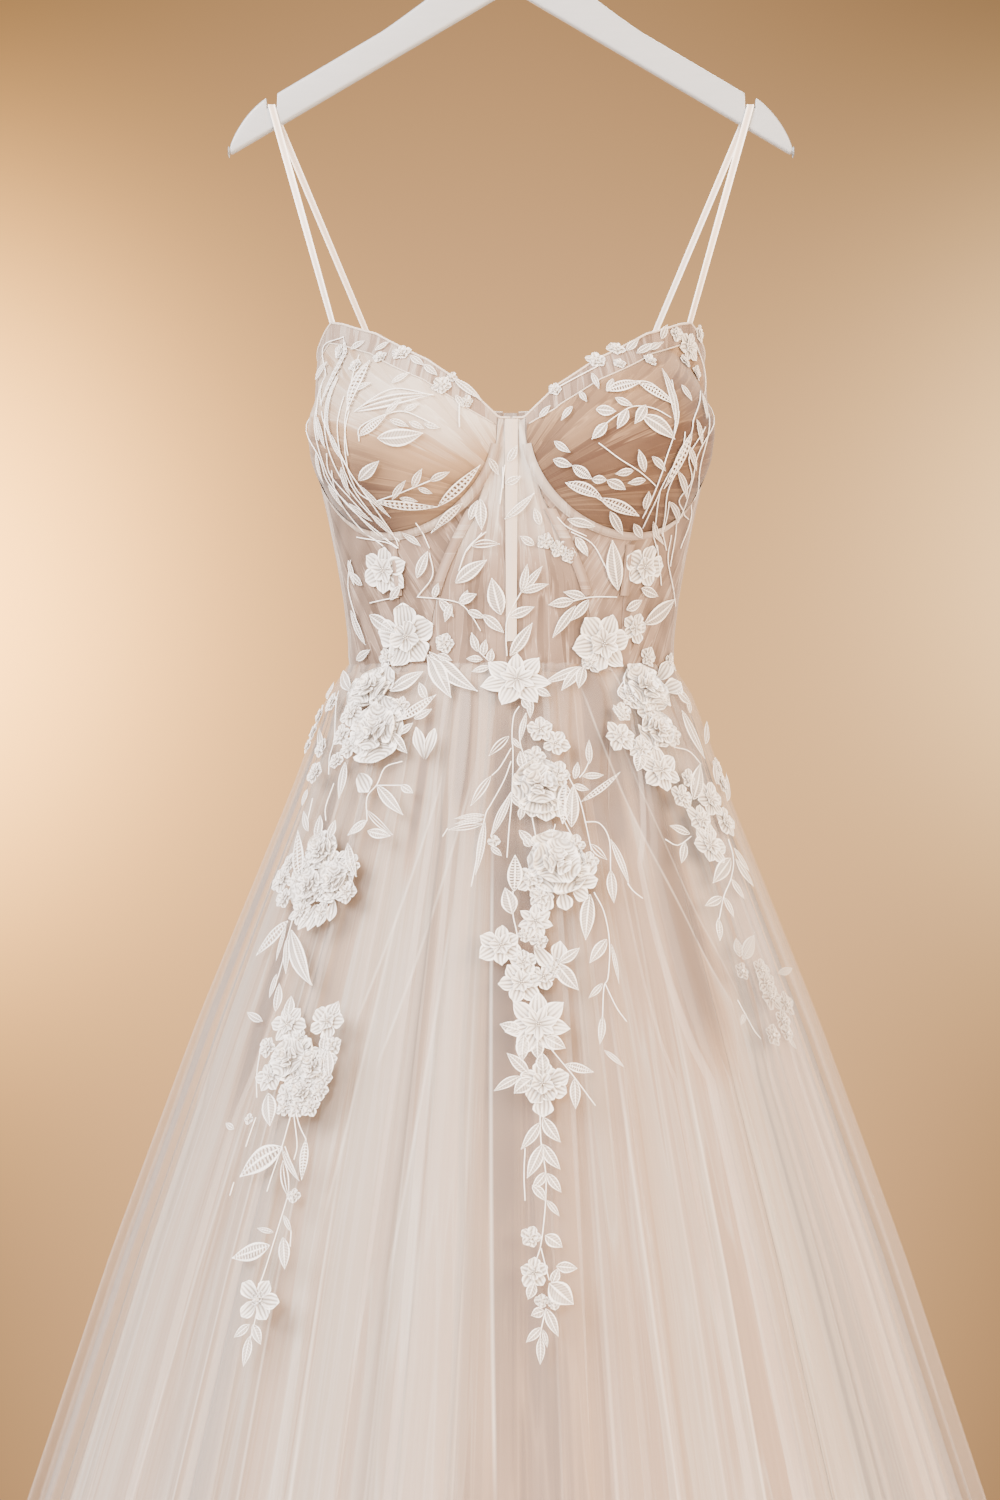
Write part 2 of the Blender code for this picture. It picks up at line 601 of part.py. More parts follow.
def hanger_outline():
    """Half the board's outline, from the crown round the right arm to the middle below."""
    crown = bezier((0.0, HANGER_CROWN), (0.030, HANGER_CROWN), (0.062, -0.0935),
                   (0.105, upper_edge(0.105)), 12)
    inner_lip = NOTCH_AT - NOTCH_WIDTH / 2
    outer_lip = NOTCH_AT + NOTCH_WIDTH / 2
    notch = np.array([
        (0.105, upper_edge(0.105)),
        (inner_lip, upper_edge(inner_lip)),
        (inner_lip, NOTCH_FLOOR),
        (outer_lip, NOTCH_FLOOR),
    ])
    end = bezier((outer_lip, upper_edge(outer_lip) + 0.0012), (0.2065, -0.1815), (0.2205, -0.2010),
                 (HANGER_HALF_WIDTH, -0.2165), 8)
    below = np.array([
        (HANGER_HALF_WIDTH, -0.2165),
        (HANGER_HALF_WIDTH - 0.0015, lower_edge(HANGER_HALF_WIDTH - 0.0015)),
        (0.010, lower_edge(0.010) + 0.0004),
        (0.004, lower_edge(0.004) - 0.0002),
    ])
    return np.concatenate([crown, notch, end, below])


def curve_mesh(curve_object):
    """The curve's solid as a mesh with its caps welded; the curve itself is removed."""
    graph = bpy.context.evaluated_depsgraph_get()
    mesh = bpy.data.meshes.new_from_object(curve_object.evaluated_get(graph))
    bpy.data.objects.remove(curve_object, do_unlink=True)
    return mesh


def make_hanger():
    half = hanger_outline()
    other_half = half[:0:-1] * np.array([-1.0, 1.0])
    outline = np.concatenate([half, other_half])
    flat = bpy.data.curves.new("hanger_outline", "CURVE")
    flat.dimensions = "2D"
    flat.fill_mode = "BOTH"
    flat.extrude = HANGER_THICK / 2
    spline = flat.splines.new("POLY")
    spline.points.add(len(outline) - 1)
    for point, (x, z) in zip(spline.points, outline):
        point.co = (x, z, 0.0, 1.0)
    spline.use_cyclic_u = True
    board_curve = bpy.data.objects.new("board_curve", flat)
    dress.objects.link(board_curve)
    bpy.context.view_layer.update()
    board = place("hanger_board", curve_mesh(board_curve), PAINTED_WOOD, smooth=False)
    board.rotation_euler = (math.radians(90.0), 0.0, 0.0)
    weld = board.modifiers.new("weld", "WELD")
    weld.merge_threshold = 0.00005

    bpy.ops.mesh.primitive_cylinder_add(vertices=16, radius=HOOK_WIRE + SEAM_GAP, depth=0.040,
                                        location=(0.0, 0.0, HOOK_STEM_FOOT - SEAM_GAP + 0.020))
    bore = bpy.context.object
    bore.name = "hook_bore_cutter"
    bore.hide_render = True
    bore.display_type = "WIRE"
    for holder in list(bore.users_collection):
        holder.objects.unlink(bore)
    cutters.objects.link(bore)
    cut = board.modifiers.new("hook_bore", "BOOLEAN")
    cut.operation = "DIFFERENCE"
    cut.object = bore

    middle = -HOOK_BEND + HOOK_WIRE
    bend = np.radians(np.linspace(-52.0, 218.0, 24))
    ring = np.stack([HOOK_BEND * np.cos(bend), middle + HOOK_BEND * np.sin(bend)], axis=-1)
    into_ring = bezier((0.0, HANGER_CROWN + 0.008), (0.0, HANGER_CROWN + 0.017),
                       (ring[0][0] - 0.0080, ring[0][1] - 0.0062), tuple(ring[0]), 6)
    stem = np.array([(0.0, HOOK_STEM_FOOT)])
    wire_line = np.concatenate([stem, into_ring, ring])
    wire = bpy.data.curves.new("hanger_hook", "CURVE")
    wire.dimensions = "3D"
    wire.bevel_depth = HOOK_WIRE
    wire.bevel_resolution = 2
    wire.use_fill_caps = True
    spline = wire.splines.new("POLY")
    spline.points.add(len(wire_line) - 1)
    for point, (x, z) in zip(spline.points, wire_line):
        point.co = (x, 0.0, z, 1.0)
    hook = bpy.data.objects.new("hanger_hook", wire)
    wire.materials.append(STEEL)
    dress.objects.link(hook)


make_bodice()
make_casings()
make_skirt()
make_lace()
make_straps()
make_hanger()
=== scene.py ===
"""Looks of a wedding dress on a hanger: boned bodice, corded lace, gathered tulle over a nude lining.

Metres, +Z up, the front faces -Y and +X is the right of someone who looks at the front.
The origin is the inside top of the hanger's hook, so everything hangs at negative heights.
"""
import math

import bpy
import numpy as np
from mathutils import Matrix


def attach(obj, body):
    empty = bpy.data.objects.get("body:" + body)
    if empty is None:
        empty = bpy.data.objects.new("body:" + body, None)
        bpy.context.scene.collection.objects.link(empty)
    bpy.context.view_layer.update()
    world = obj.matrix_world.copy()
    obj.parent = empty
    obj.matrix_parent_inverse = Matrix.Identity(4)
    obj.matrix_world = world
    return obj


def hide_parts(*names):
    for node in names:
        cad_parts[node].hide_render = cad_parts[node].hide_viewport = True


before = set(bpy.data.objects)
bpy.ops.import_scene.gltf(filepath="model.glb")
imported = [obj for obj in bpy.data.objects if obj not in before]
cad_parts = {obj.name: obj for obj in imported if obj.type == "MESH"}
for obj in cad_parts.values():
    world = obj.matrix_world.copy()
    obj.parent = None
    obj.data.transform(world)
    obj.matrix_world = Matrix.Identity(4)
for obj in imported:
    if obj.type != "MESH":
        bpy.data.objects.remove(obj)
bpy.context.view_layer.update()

MM = 0.001

# ---------------------------------------------------------------- driving sizes, in metres
WAIST = -0.620               # height of the waist seam
HEM = -1.700
GORE_TOP = -0.4326           # height of the flat middle of the neckline
SEAM_GAP = 0.0003
WAIST_TUCK = 0.0016          # half of how far the lining goes up inside the bodice
BODICE_FOOT = WAIST - 0.007  # edge of the bodice's seam allowance, under the tulle

# Body of the bodice, a row for each height.
BODICE_HEIGHT, BODICE_WIDTH, BODICE_FRONT, BODICE_BACK = np.array([
    # height   half_width  front_depth  back_depth
    (-0.3500,  0.1505,     0.0900,      0.0860),
    (-0.3950,  0.1540,     0.0930,      0.0880),
    (-0.4350,  0.1560,     0.0950,      0.0880),
    (-0.4740,  0.1515,     0.0930,      0.0870),
    (-0.5100,  0.1434,     0.0900,      0.0840),
    (-0.5400,  0.1375,     0.0880,      0.0810),
    (-0.5700,  0.1322,     0.0870,      0.0790),
    (-0.6000,  0.1288,     0.0880,      0.0780),
    (WAIST,    0.1284,     0.0900,      0.0790),
])[::-1].T

# Smooth outside of the skirt, through the crests of its folds, a row for each height.
(SKIRT_HEIGHT, SKIRT_WIDTH, SKIRT_FRONT, SKIRT_BACK, FOLD_DEPTH, LINING_INSET) = np.array([
    # height           half_width  front_depth  back_depth  fold_depth  lining_inset
    (WAIST - SEAM_GAP, 0.1284,     0.0900,      0.0790,     0.0015,     0.0036),
    (-0.6450,          0.1455,     0.1060,      0.0970,     0.0060,     0.0095),
    (-0.7200,          0.1740,     0.1350,      0.1310,     0.0110,     0.0160),
    (-0.9000,          0.2480,     0.2060,      0.2080,     0.0170,     0.0240),
    (-1.0800,          0.3155,     0.2680,      0.2740,     0.0210,     0.0300),
    (-1.2800,          0.3830,     0.3280,      0.3380,     0.0240,     0.0350),
    (HEM,              0.5350,     0.4600,      0.4780,     0.0280,     0.0420),
])[::-1].T

# Top edge of the bodice, a row for each place, by the angle round from the front middle.
NECK_ANGLE, NECK_HEIGHT = np.array([
    # angle   height
    (0.0,     GORE_TOP),
    (3.6,     GORE_TOP),
    (13.2,    -0.4073),
    (24.2,    -0.3880),
    (43.5,    -0.3655),
    (60.0,    -0.3560),
    (68.5,    -0.3535),
    (74.0,    -0.3600),
    (80.0,    -0.3680),
    (90.0,    -0.3760),
    (110.0,   -0.3900),
    (140.0,   -0.4040),
    (165.0,   -0.4120),
    (180.0,   -0.4140),
]).T

# Cups: a dome over an ellipse in angle and height.
CUP_ANGLE = 41.0
CUP_TURN = 37.0
CUP_MIDDLE = -0.440
CUP_DROP = 0.082
CUP_DOME = 0.036
CUP_APEX = -0.448
CUP_RIM_TURN = 2.0           # how far the dome reaches past the underwire, in degrees and metres
CUP_RIM_DROP = 0.0015
BAND_DEPTH = 0.016
BAND_DEPTH_AT_GORE = 0.0074

# Upright seams of the bodice, degrees round from the front middle.
PRINCESS_AT_WAIST = 30.2
PRINCESS_STATION = 22.5
SIDE_FRONT_SEAM = CUP_ANGLE
SIDE_SEAM = CUP_ANGLE + CUP_TURN
BACK_SEAM = 125.0
PLACKET_EDGE = 177.8
SEAM_TURN = 0.1              # degrees that a panel's edge stands back from its seam

CLOTH_WALL = 0.0008          # walls of the opaque cloths, inwards from their outside
RIBBON_LIFT = 0.0009         # satin casings above the seams that they cover
LACE_LIFT = 0.0010           # lace above the cloth under it
DRAG_RISE = 0.0003           # drag lines of the bodice
CASING_HALF_TURN = 1.8       # half width in degrees of a bone casing

FOLDS = 48                   # of the outer tulle
SECOND_FOLDS = 78            # of the second sheer layer
FOLD_FLATNESS = 1.17
SKIRT_PANELS = ("front", "side_front_right", "side_back_right",
                "back", "side_back_left", "side_front_left")
LINING_GORES = ("front", "right", "back", "left")
LINING_HEM = HEM + 0.020

# Where the gathers part and the lining shows.
WAIST_PARTINGS = (
    # angle, half width in degrees, top, foot
    (41.5, 5.5, -0.655, -0.930),
    (-2.6, 2.3, -0.660, -1.020),
    (-14.0, 2.2, -0.632, -0.740),
    (9.0, 2.4, -0.632, -0.720),
    (27.0, 5.0, -0.622, -0.770),
    (-26.0, 1.4, -0.640, -0.780),
    (-60.0, 4.0, -0.700, -0.960),
)

# Broad changes in how much tulle lies over the lining.
TULLE_DENSITY = (
    # angle, half width in degrees, change
    (1.0, 8.5, -0.44),
    (-13.0, 6.0, 0.12),
    (-32.0, 7.0, 0.14),
    (-55.0, 9.0, -0.04),
    (-72.0, 8.0, 0.08),
    (22.0, 7.0, -0.08),
    (50.0, 9.5, 0.28),
    (66.0, 12.0, -0.04),
)

# Edges of overlapping tulle, straight lines down the skirt. The step is how much paler it is on the
# left than on the right, and the line how pale the folded edge itself is.
TULLE_EDGES = (
    # top angle, top, foot angle, foot, step, line
    (22.0, -0.630, 51.0, -0.885, 0.26, 0.24),
    (33.0, -0.660, 56.0, -0.900, 0.00, 0.16),
    (-4.8, -0.740, -2.0, -1.240, 0.16, 0.34),
    (-7.4, -0.780, -7.6, -1.700, 0.02, 0.20),
    (-10.4, -0.700, -26.0, -0.930, 0.05, 0.26),
    (-13.2, -0.800, -19.0, -1.100, -0.08, 0.26),
    (-18.0, -0.950, -19.5, -1.700, -0.06, 0.22),
    (-19.2, -0.700, -32.0, -0.900, 0.05, 0.26),
    (-26.4, -0.800, -31.0, -1.050, -0.05, 0.24),
    (-29.7, -0.950, -27.5, -1.700, 0.07, 0.26),
    (-38.0, -0.900, -35.0, -1.700, 0.08, 0.24),
    (-47.8, -0.760, -48.3, -1.700, 0.08, 0.26),
    (-54.6, -0.900, -60.0, -1.700, 0.06, 0.20),
    (-74.2, -0.800, -69.0, -1.700, 0.05, 0.22),
    (13.8, -0.760, 12.6, -1.700, -0.10, 0.20),
    (19.5, -0.860, 23.0, -1.700, 0.05, 0.26),
    (27.5, -0.860, 28.0, -1.700, 0.04, 0.14),
    (34.3, -0.860, 33.0, -1.700, 0.10, 0.36),
    (46.1, -0.880, 45.5, -1.700, -0.08, 0.20),
    (56.0, -0.950, 54.5, -1.700, 0.05, 0.18),
    (62.0, -0.800, 61.0, -1.700, -0.05, 0.20),
    (71.5, -0.900, 75.0, -1.700, 0.05, 0.24),
)
FOLD_PALENESS = 1.8          # how far the paleness of a folded edge is drawn stronger, to show
EDGE_FADE = 7.0              # degrees beside an edge
EDGE_STEP = 0.15             # half of the degrees that the veil takes to step down at an edge
EDGE_LINE_WAIST = 0.60       # half width in degrees of a folded edge, at the waist and at the hem
EDGE_LINE_HEM = 0.16
HALF_VEIL = 0.45             # how much veil leaves the nude cloth in its own colour
FULL_VEIL_DROP = 0.9         # how far under the waist the tulle lies thickest

STRAP_WIDTH = 0.0056
STRAP_WALL = 0.0010
STRAP_FRONT_ANGLE = 70.0
STRAP_BACK_ANGLE = 142.0
STRAP_TUCK = 0.010
STRAP_BEND = 0.0010
STRAP_FRONT_LEAN = 48.0
STRAP_BACK_LEAN = 38.0

HANGER_HALF_WIDTH = 0.2228
HANGER_THICK = 0.012
HANGER_SLOPE = 0.589
HANGER_UPPER = -0.0606
HANGER_LOWER = -0.0870
HANGER_CROWN = -0.0620
HANGER_TIP = -0.2165
HANGER_ROUNDING = 0.0028     # radius of the board's long edges
NOTCH_AT = 0.1888
NOTCH_WIDTH = 0.0088
NOTCH_FLOOR = -0.1795
HOOK_WIRE = 0.0020
HOOK_BEND = 0.0230
HOOK_STEM_FOOT = -0.0840

# Lace is drawn on squared paper on the plane through the hanger, seen from the eye point.
EYE = (-0.0087, -3.2, -0.6875)
CHART_SQUARE = 0.00079       # side of a square of the paper
CHART_MIDDLE = 511.0         # squares from the paper's left edge to the hanger's middle
CHART_TOP = -0.095           # height of the paper's upper edge

STUDIO_LIGHT = 1.3           # brightness of the studio round the dress
FLOOR_RADIUS = 2.2
FLOOR_HEIGHT = -1.76
LENS = 97.2                  # millimetres on a 36 mm sensor, which frames the hook and most of the skirt


# ---------------------------------------------------------------- colours and nodes
def linear(code):
    """An sRGB hex colour as linear red, green, blue and 1."""
    parts = [int(code[i:i + 2], 16) / 255.0 for i in (1, 3, 5)]
    return (*[p / 12.92 if p <= 0.04045 else ((p + 0.055) / 1.055) ** 2.4 for p in parts], 1.0)


def add(tree, kind, sockets=None, out=0, **settings):
    """Adds a node with its settings and links, and returns the output that out names.

    Each entry of sockets is a plain value, or an output to link it to.
    """
    node = tree.nodes.new(kind)
    for key, value in settings.items():
        setattr(node, key, value)
    for socket, value in (sockets or {}).items():
        if isinstance(value, bpy.types.NodeSocket):
            tree.links.new(value, node.inputs[socket])
        else:
            node.inputs[socket].default_value = value
    return node.outputs[out]


def surface(name, **values):
    """A material with one Principled shader, whose plain values are set on its own sockets."""
    finish = bpy.data.materials.new(name)
    finish.use_nodes = True
    shader = finish.node_tree.nodes["Principled BSDF"]
    for socket, value in values.items():
        shader.inputs[socket.replace("_", " ")].default_value = value
    return finish, finish.node_tree, shader


def blend(tree, share, first, second):
    """A mix of two colours, each a colour or an output, by a share that is an output."""
    return add(tree, "ShaderNodeMix", {"Factor": share, 6: first, 7: second}, out=2, data_type="RGBA")


def add_bump(tree, shader, pattern, strength, rise=0.0003):
    """Raises the shader's surface by a pattern, an output, whose white stands rise metres high."""
    bump = add(tree, "ShaderNodeBump", {"Height": pattern, "Strength": strength, "Distance": rise})
    tree.links.new(bump, shader.inputs["Normal"])


def add_threads(tree, shader, per_mm, detail, strength, rise=0.0003):
    """Raises fine threads, per_mm of them to a millimetre, as noise on Object coordinates."""
    where = add(tree, "ShaderNodeTexCoord", out="Object")
    noise = add(tree, "ShaderNodeTexNoise", {"Vector": where, "Scale": per_mm / MM, "Detail": detail})
    add_bump(tree, shader, noise, strength, rise)


# ---------------------------------------------------------------- how much tulle lies over the nude
def cloth_place(tree):
    """Degrees round the dress, from the attribute round, and height, as outputs."""
    where = add(tree, "ShaderNodeTexCoord", out="Object")
    up = add(tree, "ShaderNodeSeparateXYZ", {0: where}, out="Z")
    return add(tree, "ShaderNodeAttribute", out="Fac", attribute_name="round"), up


def gathers(tree, where, band, line):
    """Height of folded-over tulle: slow noise gives bands with a crisp edge and a thin line along it.

    Where the noise passes its middle, a second thickness begins: the value rises by band there,
    and by line on the fold itself.
    """
    middle = 0.50
    edge = 0.03
    fold_width = 0.014
    noise = add(tree, "ShaderNodeTexNoise", {"Vector": where, "Scale": 1.0, "Detail": 3.0, "Roughness": 0.6},
                noise_dimensions="2D")
    doubled = add(tree, "ShaderNodeMapRange", {"Value": noise, "From Min": middle - edge, "From Max": middle,
                                               "To Min": -0.5 * band, "To Max": 0.5 * band})
    off = add(tree, "ShaderNodeMath", {0: noise, 1: middle}, operation="SUBTRACT")
    off = add(tree, "ShaderNodeMath", {0: off}, operation="ABSOLUTE")
    fold = add(tree, "ShaderNodeMapRange", {"Value": off, "From Max": fold_width, "To Min": line,
                                            "To Max": 0.0})
    return add(tree, "ShaderNodeMath", {0: doubled, 1: fold}, operation="ADD")


def veiled(tree, streaks):
    """The attribute veil plus sets of gathers.

    Each set has its noise per degree round and per metre of height, its band and its line.
    """
    degrees, up = cloth_place(tree)
    place = add(tree, "ShaderNodeCombineXYZ", {"X": degrees, "Y": up})
    total = add(tree, "ShaderNodeAttribute", out="Fac", attribute_name="veil")
    for across, along, band, line in streaks:
        stretched = add(tree, "ShaderNodeMapping", {"Vector": place, "Scale": (across, along, 1.0)})
        pattern = gathers(tree, stretched, band, line)
        total = add(tree, "ShaderNodeMath", {0: total, 1: pattern}, operation="ADD")
    return total


def overlapped(tree, veil):
    """A veil with TULLE_EDGES laid on it, and the pale lines of their folded edges.

    Each is a straight line of angle against height, which comes and goes over an eighth of its
    run. On its left the veil is thicker by the step and on its right thinner, both fading within
    EDGE_FADE degrees. The fold itself keeps its width in millimetres down the skirt, so its
    width in degrees shrinks.
    """
    degrees, up = cloth_place(tree)
    half_line = add(tree, "ShaderNodeMapRange", {"Value": up, "From Min": WAIST, "From Max": HEM,
                                                 "To Min": EDGE_LINE_WAIST, "To Max": EDGE_LINE_HEM})
    folds = 0.0
    for top_angle, top, foot_angle, foot, step, line in TULLE_EDGES:
        slope = (foot_angle - top_angle) / (foot - top)
        fall = (top - foot) / 8.0
        edge = add(tree, "ShaderNodeMath", {0: up, 1: slope, 2: top_angle - slope * top},
                   operation="MULTIPLY_ADD")
        off = add(tree, "ShaderNodeMath", {0: degrees, 1: edge}, operation="SUBTRACT")
        away = add(tree, "ShaderNodeMath", {0: off}, operation="ABSOLUTE")
        begun = add(tree, "ShaderNodeMapRange", {"Value": up, "From Min": top, "From Max": top - fall})
        left = add(tree, "ShaderNodeMapRange", {"Value": up, "From Min": foot, "From Max": foot + fall})
        shown = add(tree, "ShaderNodeMath", {0: begun, 1: left}, operation="MULTIPLY")
        side = add(tree, "ShaderNodeMapRange", {"Value": off, "From Min": -EDGE_STEP, "From Max": EDGE_STEP,
                                                "To Min": step, "To Max": -step})
        fade = add(tree, "ShaderNodeMapRange", {"Value": away, "From Max": EDGE_FADE, "To Min": shown,
                                                "To Max": 0.0}, interpolation_type="SMOOTHSTEP")
        veil = add(tree, "ShaderNodeMath", {0: side, 1: fade, 2: veil}, operation="MULTIPLY_ADD")
        fold = add(tree, "ShaderNodeMapRange", {"Value": away, "From Max": half_line,
                                                "To Min": FOLD_PALENESS * line, "To Max": 0.0})
        folds = add(tree, "ShaderNodeMath", {0: fold, 1: shown, 2: folds}, operation="MULTIPLY_ADD")
    return veil, folds


def through_veil(tree, veil, dark, nude, pale):
    """Colour under a veil: dark where it's bare, nude under HALF_VEIL of it and pale under all of it."""
    low = add(tree, "ShaderNodeMapRange", {"Value": veil, "From Max": HALF_VEIL})
    high = add(tree, "ShaderNodeMapRange", {"Value": veil, "From Min": HALF_VEIL})
    return blend(tree, high, blend(tree, low, linear(dark), linear(nude)), linear(pale))


# ---------------------------------------------------------------- finishes
def tulle_finish(name, colour, alpha):
    """Soft nylon tulle: hexagonal net with 1 mm holes, too fine to see, so it reads as an even veil."""
    return surface(name, Roughness=0.9, Alpha=alpha, Base_Color=linear(colour), Sheen_Weight=0.15,
                   Sheen_Roughness=0.6, Specular_IOR_Level=0.15)[0]


def nude_cloth(name, roughness, sheen, streaks, colours, fold_colour=None):
    """Nude cloth under ivory net: its colours where it is bare, thinly veiled and thickly veiled.

    With a fold colour, the edges of the overlapping tulle are drawn on it too.
    """
    finish, tree, shader = surface(name, Roughness=roughness, Sheen_Weight=sheen)
    veil = veiled(tree, streaks)
    if fold_colour:
        veil, folds = overlapped(tree, veil)
        colour = blend(tree, folds, through_veil(tree, veil, *colours), linear(fold_colour))
    else:
        colour = through_veil(tree, veil, *colours)
    tree.links.new(colour, shader.inputs["Base Color"])
    return finish, tree, shader


def lining_finish():
    """Nude acetate satin under gathered ivory tulle: paler where the gathers lie closer together.

    Its threads, about six to the millimetre, are drawn ten times coarser, so that they show.
    """
    streaks = ((0.10, 0.8, 0.14, 0.12), (0.34, 1.2, 0.05, 0.08), (1.3, 0.3, 0.05, 0.12))
    finish, tree, shader = nude_cloth("nude_acetate_under_ivory_tulle", 0.7, 0.15, streaks,
                                      ("#4c2f16", "#886c51", "#a8a5a0"), "#ddd8d2")
    add_threads(tree, shader, 0.6, 2.0, 0.2)
    return finish


def cup_finish():
    """Moulded foam cup under nude tricot, veiled with pleated tulle: ivory where the veil is thick.

    Tricot has about two ribs to the millimetre; they are drawn twice as coarse, so that they show.
    """
    finish, tree, shader = nude_cloth("nude_moulded_cup_with_pleated_tulle", 0.8, 0.2,
                                      ((0.10, 9.0, 0.12, 0.12), (0.33, 14.0, 0.05, 0.08)),
                                      ("#462b16", "#8f7356", "#c6bdb3"))
    add_threads(tree, shader, 0.9, 2.0, 0.35)
    return finish


def bodice_finish():
    """Ivory net over nude power mesh, knitted with holes 1.4 mm apart: nude shows through thin net."""
    finish, tree, shader = nude_cloth("ivory_net_over_nude_power_mesh", 0.8, 0.2,
                                      ((0.09, 5.0, 0.16, 0.20), (0.28, 9.0, 0.08, 0.14)),
                                      ("#452f1d", "#867162", "#c0b8b0"))
    where = add(tree, "ShaderNodeTexCoord", out="Object")
    holes = add(tree, "ShaderNodeTexVoronoi", {"Vector": where, "Scale": 0.7 / MM})
    add_bump(tree, shader, holes, 0.3)
    return finish


def ribbon_finish():
    """Polyester satin ribbon: a broad highlight along the ribbon, and fine cross threads.

    Satin ribbon has about six threads to the millimetre; they are drawn four times coarser.
    """
    finish, tree, shader = surface("ivory_satin_ribbon", Roughness=0.38, Base_Color=linear("#c3b5a8"),
                                   Anisotropic=0.5, Sheen_Weight=0.3)
    add_threads(tree, shader, 1.5, 1.0, 0.15, 0.0002)
    return finish


def strap_finish():
    """The same satin folded and top-stitched as a strap: a painted highlight on its rolled edges, painted
    shade in the channel between.
    """
    finish, tree, shader = surface("ivory_satin_strap", Roughness=0.4, Sheen_Weight=0.3)
    # rolled is the share of a rolled edge: painted highlight on it, painted shade between.
    rolled = add(tree, "ShaderNodeAttribute", out="Fac", attribute_name="rolled")
    tree.links.new(blend(tree, rolled, linear("#c9b9ab"), linear("#fff9f3")), shader.inputs["Base Color"])
    add_threads(tree, shader, 1.5, 1.0, 0.15, 0.0002)
    return finish


def embroidery(name, painted_shade, hollow_shade, thread, cord, **values):
    """Stitched rayon: colours of painted shade, of the hollows between threads, of the threads and of their
    cord.

    The attribute thread counts stitches along the embroidery; the attribute cord is 1 on the corded
    rim and midrib and also carries painted light: below 0, towards the foot of a petal inside its flower,
    it mixes in painted shade. The hollows between threads are darker, partly as painted shade in the
    grooves and partly as what lies under the stitches.
    """
    finish, tree, shader = surface(name, **values)
    count = add(tree, "ShaderNodeAttribute", out="Fac", attribute_name="thread")
    turn = add(tree, "ShaderNodeMath", {0: count, 1: 2.0 * math.pi}, operation="MULTIPLY")
    wave = add(tree, "ShaderNodeMath", {0: turn}, operation="SINE")
    ridge = add(tree, "ShaderNodeMapRange", {"Value": wave, "From Min": -1.0})
    edge = add(tree, "ShaderNodeAttribute", out="Fac", attribute_name="cord")
    # Painted shade: where the cord attribute falls below 0, towards a petal's foot, the shade colour is mixed
    # in.
    painted_shade_share = add(tree, "ShaderNodeMapRange", {"Value": edge, "From Min": 0.0, "From Max": -1.0})
    # The hollows between threads are partly painted shade.
    ground = blend(tree, ridge, linear(hollow_shade), linear(thread))
    ground = blend(tree, painted_shade_share, ground, linear(painted_shade))
    tree.links.new(blend(tree, edge, ground, linear(cord)), shader.inputs["Base Color"])
    add_bump(tree, shader, ridge, 0.6)
    return finish


def board_finish():
    """Beech, sprayed with satin white lacquer: faint grain under the paint, a soft highlight.

    The grain runs along the board, 25 mm long and 3 mm apart.
    """
    finish, tree, shader = surface("white_lacquered_beech", Roughness=0.32, Coat_Weight=0.25,
                                   Coat_Roughness=0.2)
    where = add(tree, "ShaderNodeTexCoord", out="Object")
    grain = add(tree, "ShaderNodeMapping", {"Vector": where, "Scale": (0.04 / MM, 0.3 / MM, 0.3 / MM)})
    pores = add(tree, "ShaderNodeTexNoise", {"Vector": grain, "Scale": 1.0, "Detail": 4.0})
    tree.links.new(blend(tree, pores, linear("#9fa2a6"), linear("#a8abaf")), shader.inputs["Base Color"])
    add_bump(tree, shader, pores, 0.12)
    return finish


def wire_finish():
    """Nickel-plated steel wire, worn in patches of about 4 mm by the rails that it has hung on."""
    finish, tree, shader = surface("nickel_plated_steel_wire", Metallic=1.0, Base_Color=linear("#cbc8c3"))
    where = add(tree, "ShaderNodeTexCoord", out="Object")
    wear = add(tree, "ShaderNodeTexNoise", {"Vector": where, "Scale": 0.26 / MM, "Detail": 4.0})
    rough = add(tree, "ShaderNodeMapRange", {"Value": wear, "To Min": 0.16, "To Max": 0.34})
    tree.links.new(rough, shader.inputs["Roughness"])
    return finish


FINISH = {
    "outer_tulle": tulle_finish("ivory_nylon_tulle_outer", "#dacdc4", 0.125),
    "inner_tulle": tulle_finish("ivory_nylon_tulle_inner", "#d8cabf", 0.065),
    "lining": lining_finish(),
    "cup": cup_finish(),
    "bodice": bodice_finish(),
    "satin": ribbon_finish(),
    "strap": strap_finish(),
    # Rayon satin stitch: a bright raised cord round each petal, and thread lines inside, with painted shade
    # in the hollows between them and towards the foot of each petal.
    "lace": embroidery("ivory_rayon_corded_lace", "#7e7368", "#95897e", "#e4ded8", "#fffefd",
                       Roughness=0.62, Sheen_Weight=0.2),
    # Stitched net inside a leaf: the same threads, further apart, so the cloth under it shows through; its
    # hollows are partly painted shade, and petals worked in it are painted darker towards their foot.
    "net_ground": embroidery("ivory_rayon_stitched_net", "#7d7064", "#7d7064", "#e2dad2", "#fffefb",
                             Roughness=0.75, Alpha=0.44),
    # Petals of organza under close stitches: nearly white, a little of what lies under them shows, and
    # painted shade darkens each petal towards its foot.
    "petal_ground": embroidery("ivory_organza_stitched_petal", "#6f655c", "#93897f", "#f3f0ed", "#fffefd",
                               Roughness=0.7, Alpha=0.84, Sheen_Weight=0.3),
    # Clear glass seed beads: small bright highlights on an ivory heart.
    "bead": surface("ivory_lined_seed_bead", Roughness=0.12, Base_Color=linear("#e6dfd8"))[0],
    "board": board_finish(),
    "wire": wire_finish(),
}


# ---------------------------------------------------------------- the dress as one surface
def body_at(height):
    """Half width, front depth and back depth at a height: the bodice's above the waist, else the skirt's."""
    pairs = ((BODICE_WIDTH, SKIRT_WIDTH), (BODICE_FRONT, SKIRT_FRONT), (BODICE_BACK, SKIRT_BACK))
    return [np.where(height > WAIST, np.interp(height, BODICE_HEIGHT, bodice),
                     np.interp(height, SKIRT_HEIGHT, skirt)) for bodice, skirt in pairs]


